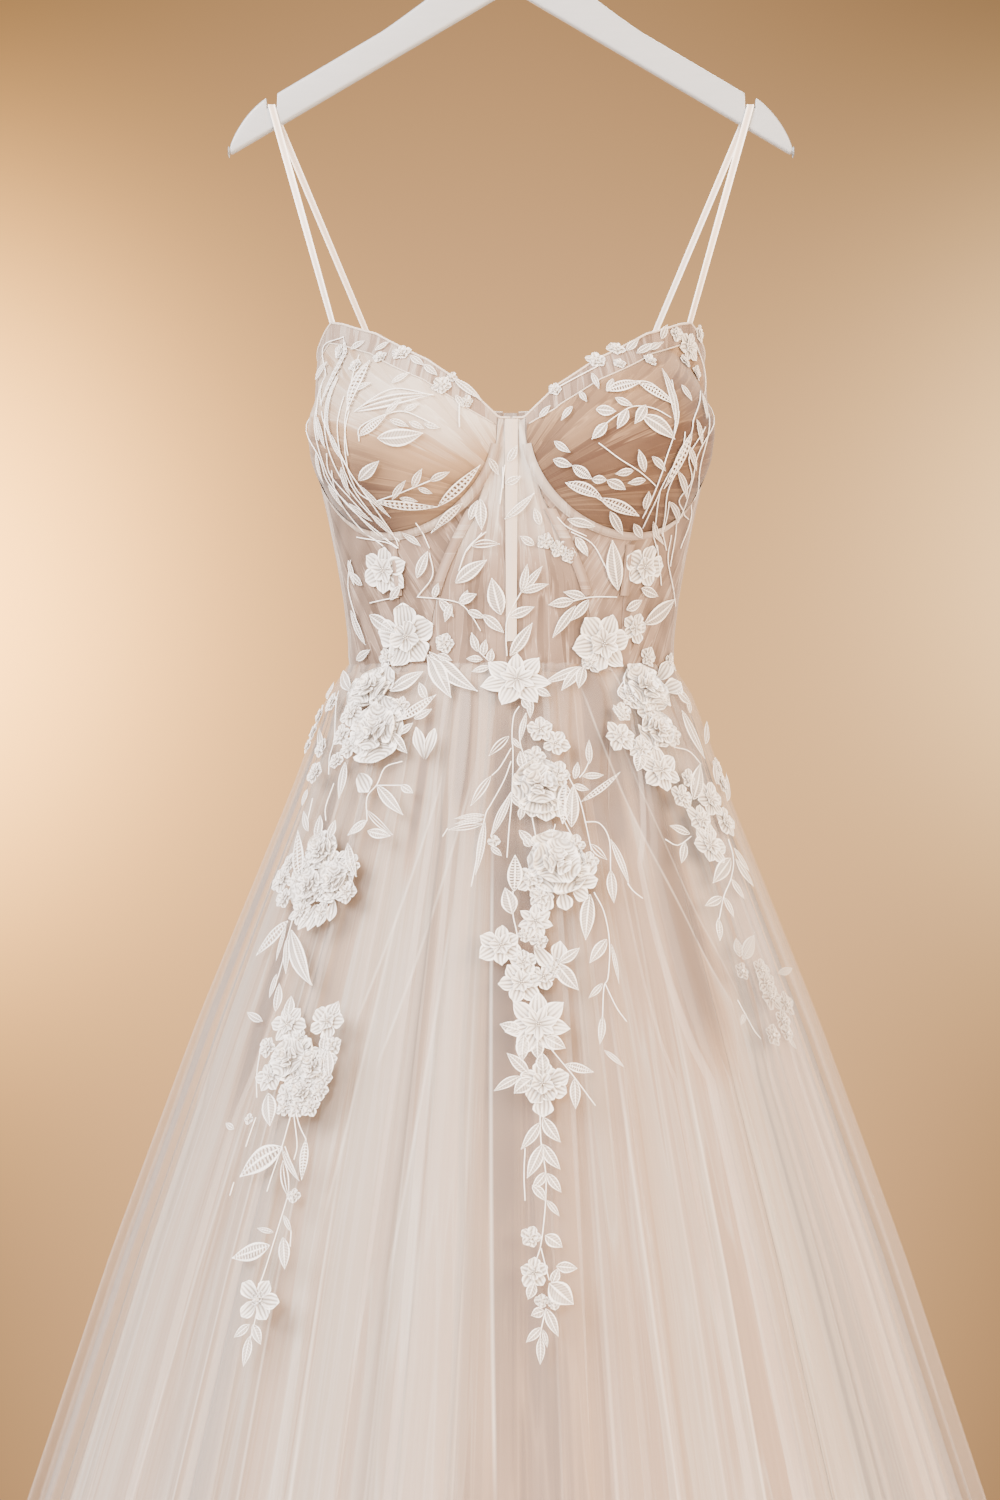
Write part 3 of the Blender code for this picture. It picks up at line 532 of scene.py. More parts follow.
def cup_dome(angle, height):
    """How far the cups lift the cloth: a rounded cap over the ellipse of each cup."""
    across = (np.abs(angle) - CUP_ANGLE) / (CUP_TURN + CUP_RIM_TURN)
    up = (height - CUP_APEX) / (CUP_DROP - (CUP_MIDDLE - CUP_APEX) + CUP_RIM_DROP)
    return CUP_DOME * np.clip(1.0 - across ** 2 - up ** 2, 0.0, None) ** 1.1


def on_dress(angle, height, inset=0.0):
    """Points on the dress by angle round from the front, in degrees, and height.

    The section is an ellipse whose depth differs front and back; the cups and any inset move
    the point level, square to that ellipse.
    """
    angle, height = np.broadcast_arrays(np.asarray(angle, float), np.asarray(height, float))
    turn = np.radians(angle)
    half_width, front, back = body_at(height)
    depth = np.where(np.cos(turn) > 0.0, front, back)
    square_x = np.sin(turn) / half_width
    square_y = -np.cos(turn) / depth
    size = np.hypot(square_x, square_y)
    out = np.where(height > WAIST, cup_dome(angle, height), 0.0) - inset
    x = half_width * np.sin(turn) + out * square_x / size
    y = -depth * np.cos(turn) + out * square_y / size
    return np.stack([x, y, height], axis=-1)


def lifted(angle, height, lift):
    """Points lifted off the cloth, square to it: the cross product of a step round and a step up."""
    step_angle = 0.3
    step_height = 0.0015
    round_it = on_dress(angle + step_angle, height) - on_dress(angle - step_angle, height)
    up_it = on_dress(angle, height + step_height) - on_dress(angle, height - step_height)
    square = np.cross(round_it, up_it)
    square /= np.linalg.norm(square, axis=-1, keepdims=True)
    return on_dress(angle, height) + square * np.asarray(lift, float)[..., None]


def from_chart(across, down):
    """Angle and height on the dress of a place on the lace chart, in squares, seen from the eye.

    The line of sight through the place is followed to the dress: each round takes the depth half
    way to the cloth's, starting well in front.
    """
    first_depth = -0.12
    widest = 0.985
    chart_x = (np.asarray(across, float) - CHART_MIDDLE) * CHART_SQUARE
    chart_z = CHART_TOP - np.asarray(down, float) * CHART_SQUARE
    y = np.full(np.shape(chart_x), first_depth)
    lean = np.zeros(np.shape(chart_x))
    for _ in range(40):
        near = (y - EYE[1]) / -EYE[1]
        x = EYE[0] + (chart_x - EYE[0]) * near
        height = EYE[2] + (chart_z - EYE[2]) * near
        half_width = body_at(height)[0]
        angle = np.degrees(np.arcsin(np.clip((x - lean) / half_width, -widest, widest)))
        found = on_dress(angle, height)
        lean = 0.5 * lean + 0.5 * (found[..., 0] - half_width * np.sin(np.radians(angle)))
        y = 0.5 * y + 0.5 * found[..., 1]
    return angle, height


def metric(angle, height):
    """Metres round the dress for each degree, and metres up it for each metre of height."""
    round_it = on_dress(angle + 0.5, height) - on_dress(angle - 0.5, height)
    up_it = on_dress(angle, height + 0.5 * MM) - on_dress(angle, height - 0.5 * MM)
    return np.linalg.norm(round_it, axis=-1), np.linalg.norm(up_it, axis=-1) / MM


# ---------------------------------------------------------------- makers
def mesh_piece(name, points, faces, finishes, slot, replaced=(), finish_of_face=None, **attributes):
    """A piece from points and faces, a smooth mesh with float attributes on its points."""
    mesh = bpy.data.meshes.new(name)
    points = np.ascontiguousarray(points, dtype=np.float32).reshape(-1, 3)
    faces = np.ascontiguousarray(faces, dtype=np.int32)
    corners = faces.shape[1]
    mesh.vertices.add(len(points))
    mesh.vertices.foreach_set("co", points.ravel())
    mesh.loops.add(faces.size)
    mesh.loops.foreach_set("vertex_index", faces.ravel())
    mesh.polygons.add(len(faces))
    mesh.polygons.foreach_set("loop_start", np.arange(0, faces.size, corners, dtype=np.int32))
    for finish in finishes:
        mesh.materials.append(FINISH[finish])
    if finish_of_face is not None:
        mesh.polygons.foreach_set("material_index", np.asarray(finish_of_face, dtype=np.int32))
    mesh.update(calc_edges=True)
    mesh.shade_smooth()
    for key, value in attributes.items():
        layer = mesh.attributes.new(key, "FLOAT", "POINT")
        layer.data.foreach_set("value", np.asarray(value, dtype=np.float32).ravel())
    piece = bpy.data.objects.new(name, mesh)
    bpy.context.scene.collection.objects.link(piece)
    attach(piece, "root")
    if replaced:
        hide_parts(*replaced)
    return piece


def grid_faces(rows, columns, around=False):
    """Four-sided faces of a grid; rows run down, columns run to +X, and may close round."""
    index = np.arange(rows * columns).reshape(rows, columns)
    if around:
        index = np.concatenate([index, index[:, :1]], axis=1)
    return np.stack([index[:-1, :-1], index[1:, :-1], index[1:, 1:], index[:-1, 1:]],
                    axis=-1).reshape(-1, 4)


def cloth(name, points, finish, slot, replaced=(), wall=None, **attributes):
    """A sheet on a grid of points, with attributes spread over it, and a wall inwards if one is given."""
    shape = points.shape[:2]
    spread = {key: np.broadcast_to(value, shape) for key, value in attributes.items()}
    piece = mesh_piece(name, points, grid_faces(*shape), [finish], slot, replaced, **spread)
    if wall:
        solid = piece.modifiers.new("wall", "SOLIDIFY")
        solid.thickness = wall
        solid.offset = -1.0


def tube_mesh(path, radius, sides):
    """Points and faces of a closed tube: circles square to a path, drawn in at both ends.

    The frame is carried along the path by parallel transport; before the first and past the last
    circle lies one of a fifth of the radius, so the ends look bound off.
    """
    path = np.asarray(path, float)
    ahead = np.gradient(path, axis=0)
    ahead /= np.linalg.norm(ahead, axis=1, keepdims=True)
    first = np.cross(ahead[0], (0.31, 0.22, 0.92))
    side = np.empty_like(path)
    side[0] = first / np.linalg.norm(first)
    for i in range(1, len(path)):
        moved = side[i - 1] - ahead[i] * np.dot(side[i - 1], ahead[i])
        side[i] = moved / np.linalg.norm(moved)
    other = np.cross(ahead, side)
    turn = np.linspace(0.0, 2.0 * math.pi, sides, endpoint=False)
    ring = np.cos(turn)[None, :, None] * side[:, None] + np.sin(turn)[None, :, None] * other[:, None]
    points = path[:, None] + ring * radius
    start = path[:1, None] + ring[:1] * radius * 0.2 - ahead[:1, None] * radius * 0.6
    end = path[-1:, None] + ring[-1:] * radius * 0.2 + ahead[-1:, None] * radius * 0.6
    points = np.concatenate([start, points, end])
    return points.reshape(-1, 3), grid_faces(len(points), sides, around=True)[:, ::-1]


def joined(parts):
    """One array of points and one of faces from several meshes."""
    counts = np.cumsum([0] + [len(points) for points, _ in parts])
    points = np.concatenate([points for points, _ in parts])
    faces = np.concatenate([faces + count for (_, faces), count in zip(parts, counts)])
    return points, faces


def smooth_line(points, count):
    """A Catmull-Rom curve through the points, at evenly spread stations."""
    if len(points) == 2:
        return points[0] + (points[1] - points[0]) * np.linspace(0.0, 1.0, count)[:, None]
    padded = np.concatenate([2 * points[:1] - points[1:2], points, 2 * points[-1:] - points[-2:-1]])
    place = np.linspace(0.0, len(points) - 1.0001, count)
    i = place.astype(int)
    t = (place - i)[:, None]
    p0, p1, p2, p3 = padded[i], padded[i + 1], padded[i + 2], padded[i + 3]
    return 0.5 * (2 * p1 + (p2 - p0) * t + (2 * p0 - 5 * p1 + 4 * p2 - p3) * t ** 2
                  + (3 * p1 - p0 - 3 * p2 + p3) * t ** 3)


# ---------------------------------------------------------------- skirt
def off_middle(angle, middle):
    """Degrees from a middle line to an angle, from -180 to 180."""
    return (angle - middle + 180.0) % 360.0 - 180.0


def fold_angle(fold, folds, phase):
    """Angle of a place counted in folds from the front middle, spaced unevenly as gathers are."""
    turn = 2.0 * math.pi * fold / folds
    uneven = (0.030 * np.sin(3.0 * turn + 2.0 + phase) + 0.020 * np.sin(7.0 * turn + 2.0 * phase)
              + 0.011 * np.sin(13.0 * turn + 1.0 + phase))
    return np.degrees(turn + uneven)


def fold_crest(fold):
    """0 in a valley, at whole numbers of folds, and 1 on the crest between two: a flattened cosine."""
    return np.clip(FOLD_FLATNESS * (0.5 - 0.5 * np.cos(2.0 * math.pi * fold)), 0.0, 1.0)


def parting_share(height, top, foot):
    """0 above and below a parting of the gathers, and 1 along its middle."""
    along = np.clip((height - foot) / (top - foot), 0.0, 1.0)
    return np.sin(math.pi * along) ** 0.6


def parted(angle, height):
    """Angle of the tulle once its gathers are drawn aside from each parting, which one layer covers."""
    for middle, wide, top, foot in WAIST_PARTINGS:
        off = off_middle(angle, middle)
        push = 1.1 * wide * np.tanh(2.0 * off / wide) * np.exp(-(off / (3.0 * wide)) ** 2)
        angle = angle + push * parting_share(height, top, foot)
    return angle


def folded(fold, height, folds, phase, top_inset, depth, lean, seed):
    """Gathered tulle: crests near top_inset, valleys up to depth further in, and folds that lean over.

    Each fold has its own fullness, lean and sharpness. A point of a crest moves round by the fold's
    lean times its share of the crest; past about 0.4 of a fold, the flank doubles back over the
    cloth beside it, so that some folds show as a crisp thin line and others as a broad band.
    """
    rng = np.random.default_rng(seed)
    over = rng.uniform(*lean, folds) * rng.choice((1.0, -1.0, 0.15), folds, p=(0.40, 0.25, 0.35))
    drift = rng.uniform(-0.9, 0.9, folds)
    valley = rng.uniform(0.40, 1.0, folds)
    top = rng.uniform(0.0, 0.30, folds)
    sharp = rng.uniform(0.7, 1.7, folds)
    fold, height = np.broadcast_arrays(fold, height)
    each = np.floor(fold + 1e-9).astype(int) % folds
    nearest = np.round(fold).astype(int) % folds
    crest = fold_crest(fold) ** sharp[each]
    fallen = (WAIST - height) / (WAIST - HEM)
    moved = fold + (over[each] + drift[each] * fallen) * crest
    inset = (1.0 - crest) * valley[nearest] + crest * top[each]
    return on_dress(parted(fold_angle(moved, folds, phase), height), height, top_inset + depth * inset)


def skirt_rows(hem, count, tuck=0.0):
    """Heights from the waist to the hem, closer together under the waist; tuck goes up inside it."""
    share = np.linspace(0.0, 1.0, count) ** 1.25
    top = WAIST - SEAM_GAP + tuck
    return (top + (hem - top) * share)[:, None]


def bands(angle, count, seed, sharp=1.0):
    """Streaks down the skirt, 0 to 1, about count of them round it and unevenly spaced."""
    turn = np.radians(angle)
    phase = (count * turn + 1.1 * np.sin(3.0 * turn + seed) + 0.8 * np.sin(5.0 * turn + 2.0 * seed)
             + 0.5 * np.sin(11.0 * turn + 3.0 * seed))
    return (0.5 + 0.5 * np.cos(phase)) ** sharp


def gathered_veil(angle, height):
    """How much tulle lies over the lining: broad and narrow streaks, thinner under the waist.

    It thickens down the first FULL_VEIL_DROP of the skirt, and it is painted paler towards its left,
    a painted light on the side towards the key lamp. Where the gathers part, a wedge of the lining is
    left nearly bare.
    """
    fallen = np.clip((WAIST - height) / FULL_VEIL_DROP, 0.0, 1.0)
    # turned is painted light: the skirt's left side, towards the key lamp, is made paler.
    turned = 0.5 + 0.5 * np.cos(np.radians(angle + 75.0))
    veil = (0.36 + 0.22 * fallen ** 0.7 + 0.05 * turned + 0.12 * (bands(angle, 13, 0.9) - 0.5)
            + 0.06 * (bands(angle, 31, 1.9, 2.0) - 0.4))
    for middle, wide, change in TULLE_DENSITY:
        veil = veil + change * np.exp(-(off_middle(angle, middle) / wide) ** 2)
    for middle, wide, top, foot in WAIST_PARTINGS:
        inside = np.exp(-(off_middle(angle, middle) / wide) ** 4)
        veil = veil - 0.9 * inside * parting_share(height, top, foot)
    return np.clip(veil, -0.4, 1.0)


def make_tulle():
    """Outer tulle in panels of eight folds each, and the second sheer layer with finer folds."""
    folds_each = FOLDS // len(SKIRT_PANELS)
    edge = 0.01
    height = skirt_rows(HEM, 44)
    depth = np.interp(height, SKIRT_HEIGHT, FOLD_DEPTH)
    for number, name in enumerate(SKIRT_PANELS):
        fold = (number - 0.5) * folds_each + np.linspace(0.0, folds_each, folds_each * 18 + 1)
        fold[0] += edge
        fold[-1] -= edge
        grid = folded(fold, height, FOLDS, 0.0, 0.0, depth, (0.22, 1.05), 1)
        cloth(f"tulle_{name}", grid, "outer_tulle", "tulle", (f"skirt_tulle_{name}",))
    room = np.clip(np.interp(height, SKIRT_HEIGHT, LINING_INSET) - depth, 0.0015, None)
    fold = np.linspace(0.0, SECOND_FOLDS, SECOND_FOLDS * 16 + 1)
    grid = folded(fold, height, SECOND_FOLDS, 0.8, depth + room * 0.15, room * 0.42, (0.30, 0.85), 2)
    cloth("tulle_second_layer", grid, "inner_tulle", "tulle")


def make_lining():
    """Four gores that hang in ripples, flat under the waist and deeper towards the hem."""
    height = skirt_rows(LINING_HEM, 34, 2.0 * WAIST_TUCK)
    fallen = WAIST - height
    inset = np.interp(height, SKIRT_HEIGHT, LINING_INSET)
    inset = np.minimum(inset, 0.0014 + 0.25 * np.clip(fallen, 0.0, None))
    swell = 0.0015 + 0.004 * fallen
    quarter = 360.0 / len(LINING_GORES)
    for number, name in enumerate(LINING_GORES):
        angle = np.linspace((number - 0.5) * quarter + SEAM_TURN, (number + 0.5) * quarter - SEAM_TURN, 260)
        turn = np.radians(angle)
        ripple = swell * (0.5 + 0.5 * np.sin(turn * 26.0 + 1.5 * np.sin(turn * 7.0)))
        cloth(f"lining_{name}", on_dress(angle, height, inset + ripple), "lining", "nude_lining",
              (f"skirt_lining_{name}",), CLOTH_WALL, veil=gathered_veil(angle, height),
              round=np.where(angle > 225.0, angle - 360.0, angle))


# ---------------------------------------------------------------- bodice
def neckline(angle):
    """Height of the top edge at an angle."""
    return np.interp(np.abs(angle), NECK_ANGLE, NECK_HEIGHT)


def band_foot(angle):
    """Height of the seam between the neckline band and the cup."""
    widening = np.clip((np.abs(angle) - (CUP_ANGLE - CUP_TURN)) / 8.0, 0.0, 1.0)
    return neckline(angle) - BAND_DEPTH_AT_GORE - (BAND_DEPTH - BAND_DEPTH_AT_GORE) * widening


def underwire(station, grow_turn=0.0, grow_drop=0.0):
    """Angle and height on the underwire's ellipse, by station in degrees from the gore."""
    along = np.radians(station)
    angle = CUP_ANGLE - (CUP_TURN + grow_turn) * np.cos(along)
    height = CUP_MIDDLE - (CUP_DROP + grow_drop) * np.sin(along)
    return angle, height


def princess(share):
    """How far the slanted seam has gone to its place at the waist, by its share of the height."""
    return np.sin(0.5 * math.pi * np.asarray(share) ** 0.75) ** 2


def turned_in(height):
    """Inset of the seam allowance, which goes in under the gathered tulle below the waist."""
    below = np.clip(WAIST + 0.001 - height, 0.0, None)
    return 0.40 * below + 0.0004 * (below > 0.0)


def sided(name, side, angle, height, inset, finish, slot, replaced, **attributes):
    """Bodice cloth given for the right half, on either side, with its relief as an inset."""
    angle, height = np.broadcast_arrays(angle, height)
    grids = {"inset": inset, **attributes}
    grids = {key: np.broadcast_to(value, angle.shape) for key, value in grids.items()}
    if side == "left":
        angle = -angle[:, ::-1]
        height = height[:, ::-1]
        grids = {key: value[:, ::-1] for key, value in grids.items()}
    points = on_dress(angle, height, grids.pop("inset") + turned_in(height))
    cloth(f"{name}_{side}", points, finish, slot, (f"{replaced}_{side}",), CLOTH_WALL, **grids)


def under_cup(first, last, waist_first, waist_last, columns, rows):
    """Angle, height and share down of a panel from the underwire between two stations to the waist."""
    stations = np.linspace(first, last, columns)
    top_angle, top_height = underwire(stations, SEAM_TURN, SEAM_GAP / 2)
    waist_angle = np.linspace(waist_first, waist_last, columns)
    share = np.linspace(0.0, 1.0, rows)[:, None]
    angle = top_angle + (waist_angle - top_angle) * princess(share)
    height = top_height + (BODICE_FOOT - top_height) * share
    angle[:, 0] += SEAM_TURN
    angle[:, -1] -= SEAM_TURN
    return angle, height, share


def make_cups():
    """Cups whose pleats fan out from beside the gore and lie closer together at the top.

    A pleat is a sine of the bearing from the middle of the fan, bent with the distance from it; its
    crests are painted paler and its folds darker, as painted light and shade. The veil is thick on the
    upper cup and thin below and at the outer side, partly as thinner pleated tulle and partly as painted
    shade under and round the cup; the right cup has one layer less over it.
    """
    foot_angle, foot_height = underwire(np.linspace(5.6, 180.0, 90), -SEAM_TURN, -SEAM_GAP / 2)
    top_height = band_foot(foot_angle) - SEAM_GAP / 2
    share = np.linspace(0.0, 1.0, 60)[:, None]
    height = top_height + (foot_height - top_height) * share
    reach_x = (foot_angle + 4.0) * 0.0019
    reach_z = height - (GORE_TOP - 0.070)
    turn = np.arctan2(reach_z, reach_x)
    far = np.clip(np.hypot(reach_x, reach_z) / 0.12, 0.0, 1.4)
    pleat = 0.6 * np.sin(23.0 * turn + 2.2 * np.sin(5.0 * turn)) + 0.4 * np.sin(14.0 * turn - 9.0 * far + 1.0)
    fine = np.sin(71.0 * turn + 2.0 * np.sin(9.0 * turn) + 4.0 * far)
    rim = np.clip(np.minimum(share, 1.0 - share) * 8.0, 0.0, 1.0)
    relief = (0.00050 * pleat + 0.00015 * fine) * rim * (0.4 + 0.6 * far)
    outer = np.clip((foot_angle - 30.0) / 24.0, 0.0, 1.0)
    sway = 0.008 * np.sin(0.09 * foot_angle + 1.0) + 0.006 * np.sin(0.21 * foot_angle + 60.0 * height)
    for side, thick, rise, foot in (("left", 1.0, 0.050, 0.21), ("right", 0.47, 0.012, 0.16)):
        # Partly painted shade: the veil thins on the lower and outer cup, and it follows the pleats, paler on
        # their crests.
        upper = np.clip((height - CUP_APEX + rise + sway) / 0.075, 0.0, 1.0)
        veil = foot + (0.86 - foot) * upper ** 1.2 - outer * (0.42 - 0.14 * upper)
        veil = np.clip(veil + 0.05 * pleat + 0.02 * fine, 0.0, 1.0)
        sided("pleated_cup", side, foot_angle, height, -relief, "cup", "nude_cup", "cup",
              veil=veil * thick, round=np.degrees(turn) + 4.0 * far)


def make_bands():
    """Neckline bands, slightly padded by their turned edge."""
    share = np.linspace(0.0, 1.0, 9)[:, None]
    angle = underwire(np.linspace(0.0, 180.0, 90), -SEAM_TURN)[0]
    drop = band_foot(angle) + SEAM_GAP / 2 - neckline(angle)
    for side, veil in (("left", 0.50), ("right", 0.34)):
        sided("band", side, angle, neckline(angle) + drop * share, -0.0006 * np.sin(math.pi * share),
              "bodice", "bodice_net", "neckline_band", veil=veil, round=2.0 * angle)


def make_front_panel():
    """Centre front: net gathered up into the gore, smooth below, with painted light on the crests of its
    pleats and painted shade in their folds.

    Its edge goes down the gore, along both underwires and down the slanted seams.
    """
    gore_angle, gore_height = underwire(np.linspace(0.0, PRINCESS_STATION, 14), SEAM_TURN, SEAM_GAP / 2)
    share = np.linspace(0.0, 1.0, 34)[1:]
    slant_angle = gore_angle[-1] + (PRINCESS_AT_WAIST - gore_angle[-1]) * princess(share)
    slant_height = gore_height[-1] + (BODICE_FOOT - gore_height[-1]) * share
    edge = np.concatenate([gore_angle[:1], gore_angle, slant_angle]) - SEAM_TURN
    height = np.concatenate([[GORE_TOP], gore_height, slant_height])[:, None]
    angle = edge[:, None] * np.linspace(-1.0, 1.0, 61)
    bearing = np.arctan2(angle * 0.0016, GORE_TOP + 0.02 - height)
    gathered = np.clip((height + 0.560) / 0.08, 0.0, 1.0)
    pleat = np.sin(bearing * 47.0 + 1.5 * np.sin(bearing * 11.0))
    inset = -0.0004 * pleat * gathered + turned_in(height)
    # The net is paler where it is gathered; the pleat term is painted light and shade, paler on the crests.
    veil = 0.28 + 0.50 * gathered + 0.12 * pleat * gathered + 0.05 * np.sin(angle * 0.31 - height * 70.0)
    cloth("front_panel_centre", on_dress(angle, height, inset), "bodice", "bodice_net",
          ("centre_front_panel",), CLOTH_WALL, veil=np.clip(veil, 0.0, 1.0),
          round=np.degrees(bearing) * (0.6 + 0.6 * gathered) + angle)


def make_side_panels():
    """Panels under the cups and round the sides and back, with faint drag lines across them, painted paler on
    their crests and darker in their hollows as painted light and shade.
    """
    for name, replaced, first, last, waist_first, waist_last, veil_first, veil_last in (
            ("front_panel_side", "side_front_panel", PRINCESS_STATION, 90.0,
             PRINCESS_AT_WAIST, SIDE_FRONT_SEAM, 0.36, 0.34),
            ("side_panel_sheer", "side_panel", 90.0, 180.0, SIDE_FRONT_SEAM, SIDE_SEAM, 0.36, 0.26)):
        angle, height, share = under_cup(first, last, waist_first, waist_last, 46, 34)
        drag = np.sin(height * 150.0 + angle * 0.35) * np.sin(angle * 0.23 - height * 20.0)
        # Painted light and shade: the veil rises and falls with the drag lines.
        veil = np.linspace(veil_first, veil_last, 46) + 0.08 * drag
        # Painted shade: the left panels are painted darker through a thinner veil, to hold down the key
        # lamp's light on that side.
        for side, thinner in (("left", 0.09), ("right", 0.0)):
            sided(name, side, angle, height, -DRAG_RISE * drag * np.sin(math.pi * share), "bodice",
                  "bodice_net", replaced, veil=veil - thinner, round=angle - 260.0 * (height - WAIST))
    share = np.linspace(0.0, 1.0, 40)[:, None]
    for name, replaced, first, last in (("back_panel_side", "side_back_panel", SIDE_SEAM, BACK_SEAM),
                                        ("back_panel_inner", "back_panel", BACK_SEAM, PLACKET_EDGE)):
        angle = np.linspace(first + SEAM_TURN, last - SEAM_TURN, 50)
        height = neckline(angle) + (BODICE_FOOT - neckline(angle)) * share
        drag = np.sin(height * 210.0 + angle * 0.15) * np.sin(angle * 0.14)
        # Painted light and shade again: paler on the drag lines' crests.
        for side in ("left", "right"):
            sided(name, side, angle, height, -DRAG_RISE * drag * np.sin(math.pi * share), "bodice",
                  "bodice_net", replaced, veil=0.50 + 0.03 * drag, round=angle)
    angle = np.linspace(PLACKET_EDGE + SEAM_TURN, 360.0 - PLACKET_EDGE - SEAM_TURN, 7)
    height = NECK_HEIGHT[-1] + (BODICE_FOOT - NECK_HEIGHT[-1]) * share
    cloth("placket", on_dress(angle, height, turned_in(height)), "bodice", "bodice_net",
          ("back_placket",), CLOTH_WALL, veil=0.7, round=angle)


def make_casings():
    """Satin casings: two stitched edges with a soft swell over the bone between them; the veiled ones are
    painted paler where they swell, a painted highlight.
    """
    across = np.linspace(-1.0, 1.0, 9)
    swell = 0.0009 * np.clip(1.0 - (across / 0.72) ** 2, 0.0, None) ** 0.5 + 0.00025 * (np.abs(across) > 0.9)
    ribbon = CASING_HALF_TURN * across
    height = np.linspace(GORE_TOP - 0.001, -0.604, 60)[:, None]
    cloth("casing_centre", lifted(ribbon, height, RIBBON_LIFT + swell), "satin", "satin_ribbon",
          ("bone_casing_centre",))
    slant_from, slant_top = underwire(PRINCESS_STATION)
    for side, sign in (("left", -1.0), ("right", 1.0)):
        height = np.linspace(-0.5020, -0.5680, 30)[:, None]
        share = (slant_top - height) / (slant_top - WAIST)
        line = slant_from + (PRINCESS_AT_WAIST - slant_from) * princess(share)
        # Painted highlight: the veil rises with the swell.
        cloth(f"casing_slanted_{side}", lifted(sign * line + ribbon, height, RIBBON_LIFT + swell),
              "bodice", "satin_ribbon", (f"bone_casing_slanted_{side}",),
              veil=0.42 + 160.0 * swell, round=line)
        height = np.linspace(-0.5285, -0.5680, 20)[:, None]
        cloth(f"casing_side_{side}", lifted(sign * SIDE_FRONT_SEAM + ribbon, height, RIBBON_LIFT + swell),
              "bodice", "satin_ribbon", (f"bone_casing_side_{side}",),
              veil=0.38 + 160.0 * swell, round=across)
        grow = across[:, None]
        lift = swell[:, None]
        angle, height = underwire(np.linspace(9.0, 172.0, 90), grow * 1.3, grow * 0.0032)
        if side == "left":
            angle = -angle[:, ::-1]
            height = height[:, ::-1]
        # Painted highlight here too: paler where the channel swells.
        cloth(f"wire_channel_{side}", lifted(angle, height, RIBBON_LIFT + lift), "bodice",
              "satin_ribbon", (f"underwire_casing_{side}",), veil=0.56 + 120.0 * lift, round=angle)


# ---------------------------------------------------------------- straps and hanger
def lower_edge(x):
    """Height of the board's lower edge, a straight line out from the middle."""
    return HANGER_LOWER - HANGER_SLOPE * x


def upper_edge(x):
    """Height of the board's upper edge, parallel to the lower one."""
    return HANGER_UPPER - HANGER_SLOPE * x


def strap_path():
    """Middle line of the right strap: inside the front edge, over the notch, inside the back edge."""
    face = HANGER_THICK / 2 + SEAM_GAP + STRAP_WALL / 2
    top = NOTCH_FLOOR + SEAM_GAP + STRAP_WALL / 2
    bend = np.radians(np.linspace(0.0, 90.0, 8))
    front = np.stack([np.full(8, NOTCH_AT), -face + STRAP_BEND * (1.0 - np.cos(bend)),
                      top - STRAP_BEND * (1.0 - np.sin(bend))], axis=-1)
    back = front[::-1] * np.array([1.0, -1.0, 1.0])
    tuck = 0.0012 + SEAM_GAP + STRAP_WALL
    low = lower_edge(NOTCH_AT) - 0.004
    lines = []
    for angle, slip, leave, over in ((STRAP_FRONT_ANGLE, 0.0062, -face - 0.0005, front[0]),
                                     (STRAP_BACK_ANGLE, 0.0095, face + 0.0005, back[-1])):
        height = neckline(angle)
        under_board = np.array([NOTCH_AT - slip, leave, low])
        edge = on_dress(angle, height + 0.001, tuck)
        foot = on_dress(angle, height - STRAP_TUCK, tuck)
        lines.append(np.concatenate([np.linspace(foot, edge, 5)[:-1], np.linspace(edge, under_board, 30),
                                     np.linspace(under_board, over, 6)[1:-1]]))
    return np.concatenate([lines[0], front, back, lines[1][::-1]]), low


def make_piping():
    """Rolled satin piping on the top edge and the foot of the neckline band, and round the back."""
    top_angle = np.linspace(0.4, 177.5, 200)
    foot_angle = np.linspace(CUP_ANGLE - CUP_TURN + 1.0, CUP_ANGLE + CUP_TURN - 1.0, 90)
    for side, sign in (("left", -1.0), ("right", 1.0)):
        edges = []
        for angle, height, radius in ((top_angle, neckline(top_angle), 0.0009),
                                      (foot_angle, band_foot(foot_angle), 0.0006)):
            line = lifted(sign * angle, height, np.full(len(angle), 0.0003))
            edges.append(tube_mesh(line, radius, sides=8))
        mesh_piece(f"neckline_piping_{side}", *joined(edges), ["satin"], "satin_ribbon")


def make_straps():
    """Satin ribbon with a rolled edge on both sides; its width turns to lie on the body."""
    path, low = strap_path()
    across = np.array([-0.5, -0.47, -0.42, -0.3, -0.15, 0.0, 0.15, 0.3, 0.42, 0.47, 0.5])
    thick = STRAP_WALL * np.array([0.25, 0.5, 0.5, 0.34, 0.32, 0.32, 0.32, 0.34, 0.5, 0.5, 0.25])
    spread = np.concatenate([across, across[::-1]])
    height = np.concatenate([thick, -thick[::-1]])
    fall = np.clip((low - path[:, 2]) / (low - path[0, 2]), 0.0, 1.0)
    turn = np.radians(fall * np.where(path[:, 1] < 0.0, STRAP_FRONT_LEAN, -STRAP_BACK_LEAN))
    wide = np.stack([np.cos(turn), np.sin(turn), 0.0 * turn], axis=-1)
    square = np.cross(np.gradient(path, axis=0), wide)
    square /= np.linalg.norm(square, axis=1, keepdims=True)
    grid = (path[:, None] + STRAP_WIDTH * spread[None, :, None] * wide[:, None]
            + height[None, :, None] * square[:, None])
    # Where the edges roll: the strap's finish paints a highlight there and shade in the channel between.
    rolled = np.tile(np.clip((np.abs(spread) - 0.22) / 0.2, 0.0, 1.0), len(path))
    faces = grid_faces(len(path), len(spread), around=True)
    for side, sign, order in (("left", -1.0, -1), ("right", 1.0, 1)):
        mesh_piece(f"ribbon_strap_{side}", grid * np.array([sign, 1.0, 1.0]), faces[:, ::order], ["strap"],
                   "satin_ribbon", (f"strap_{side}",), rolled=rolled)


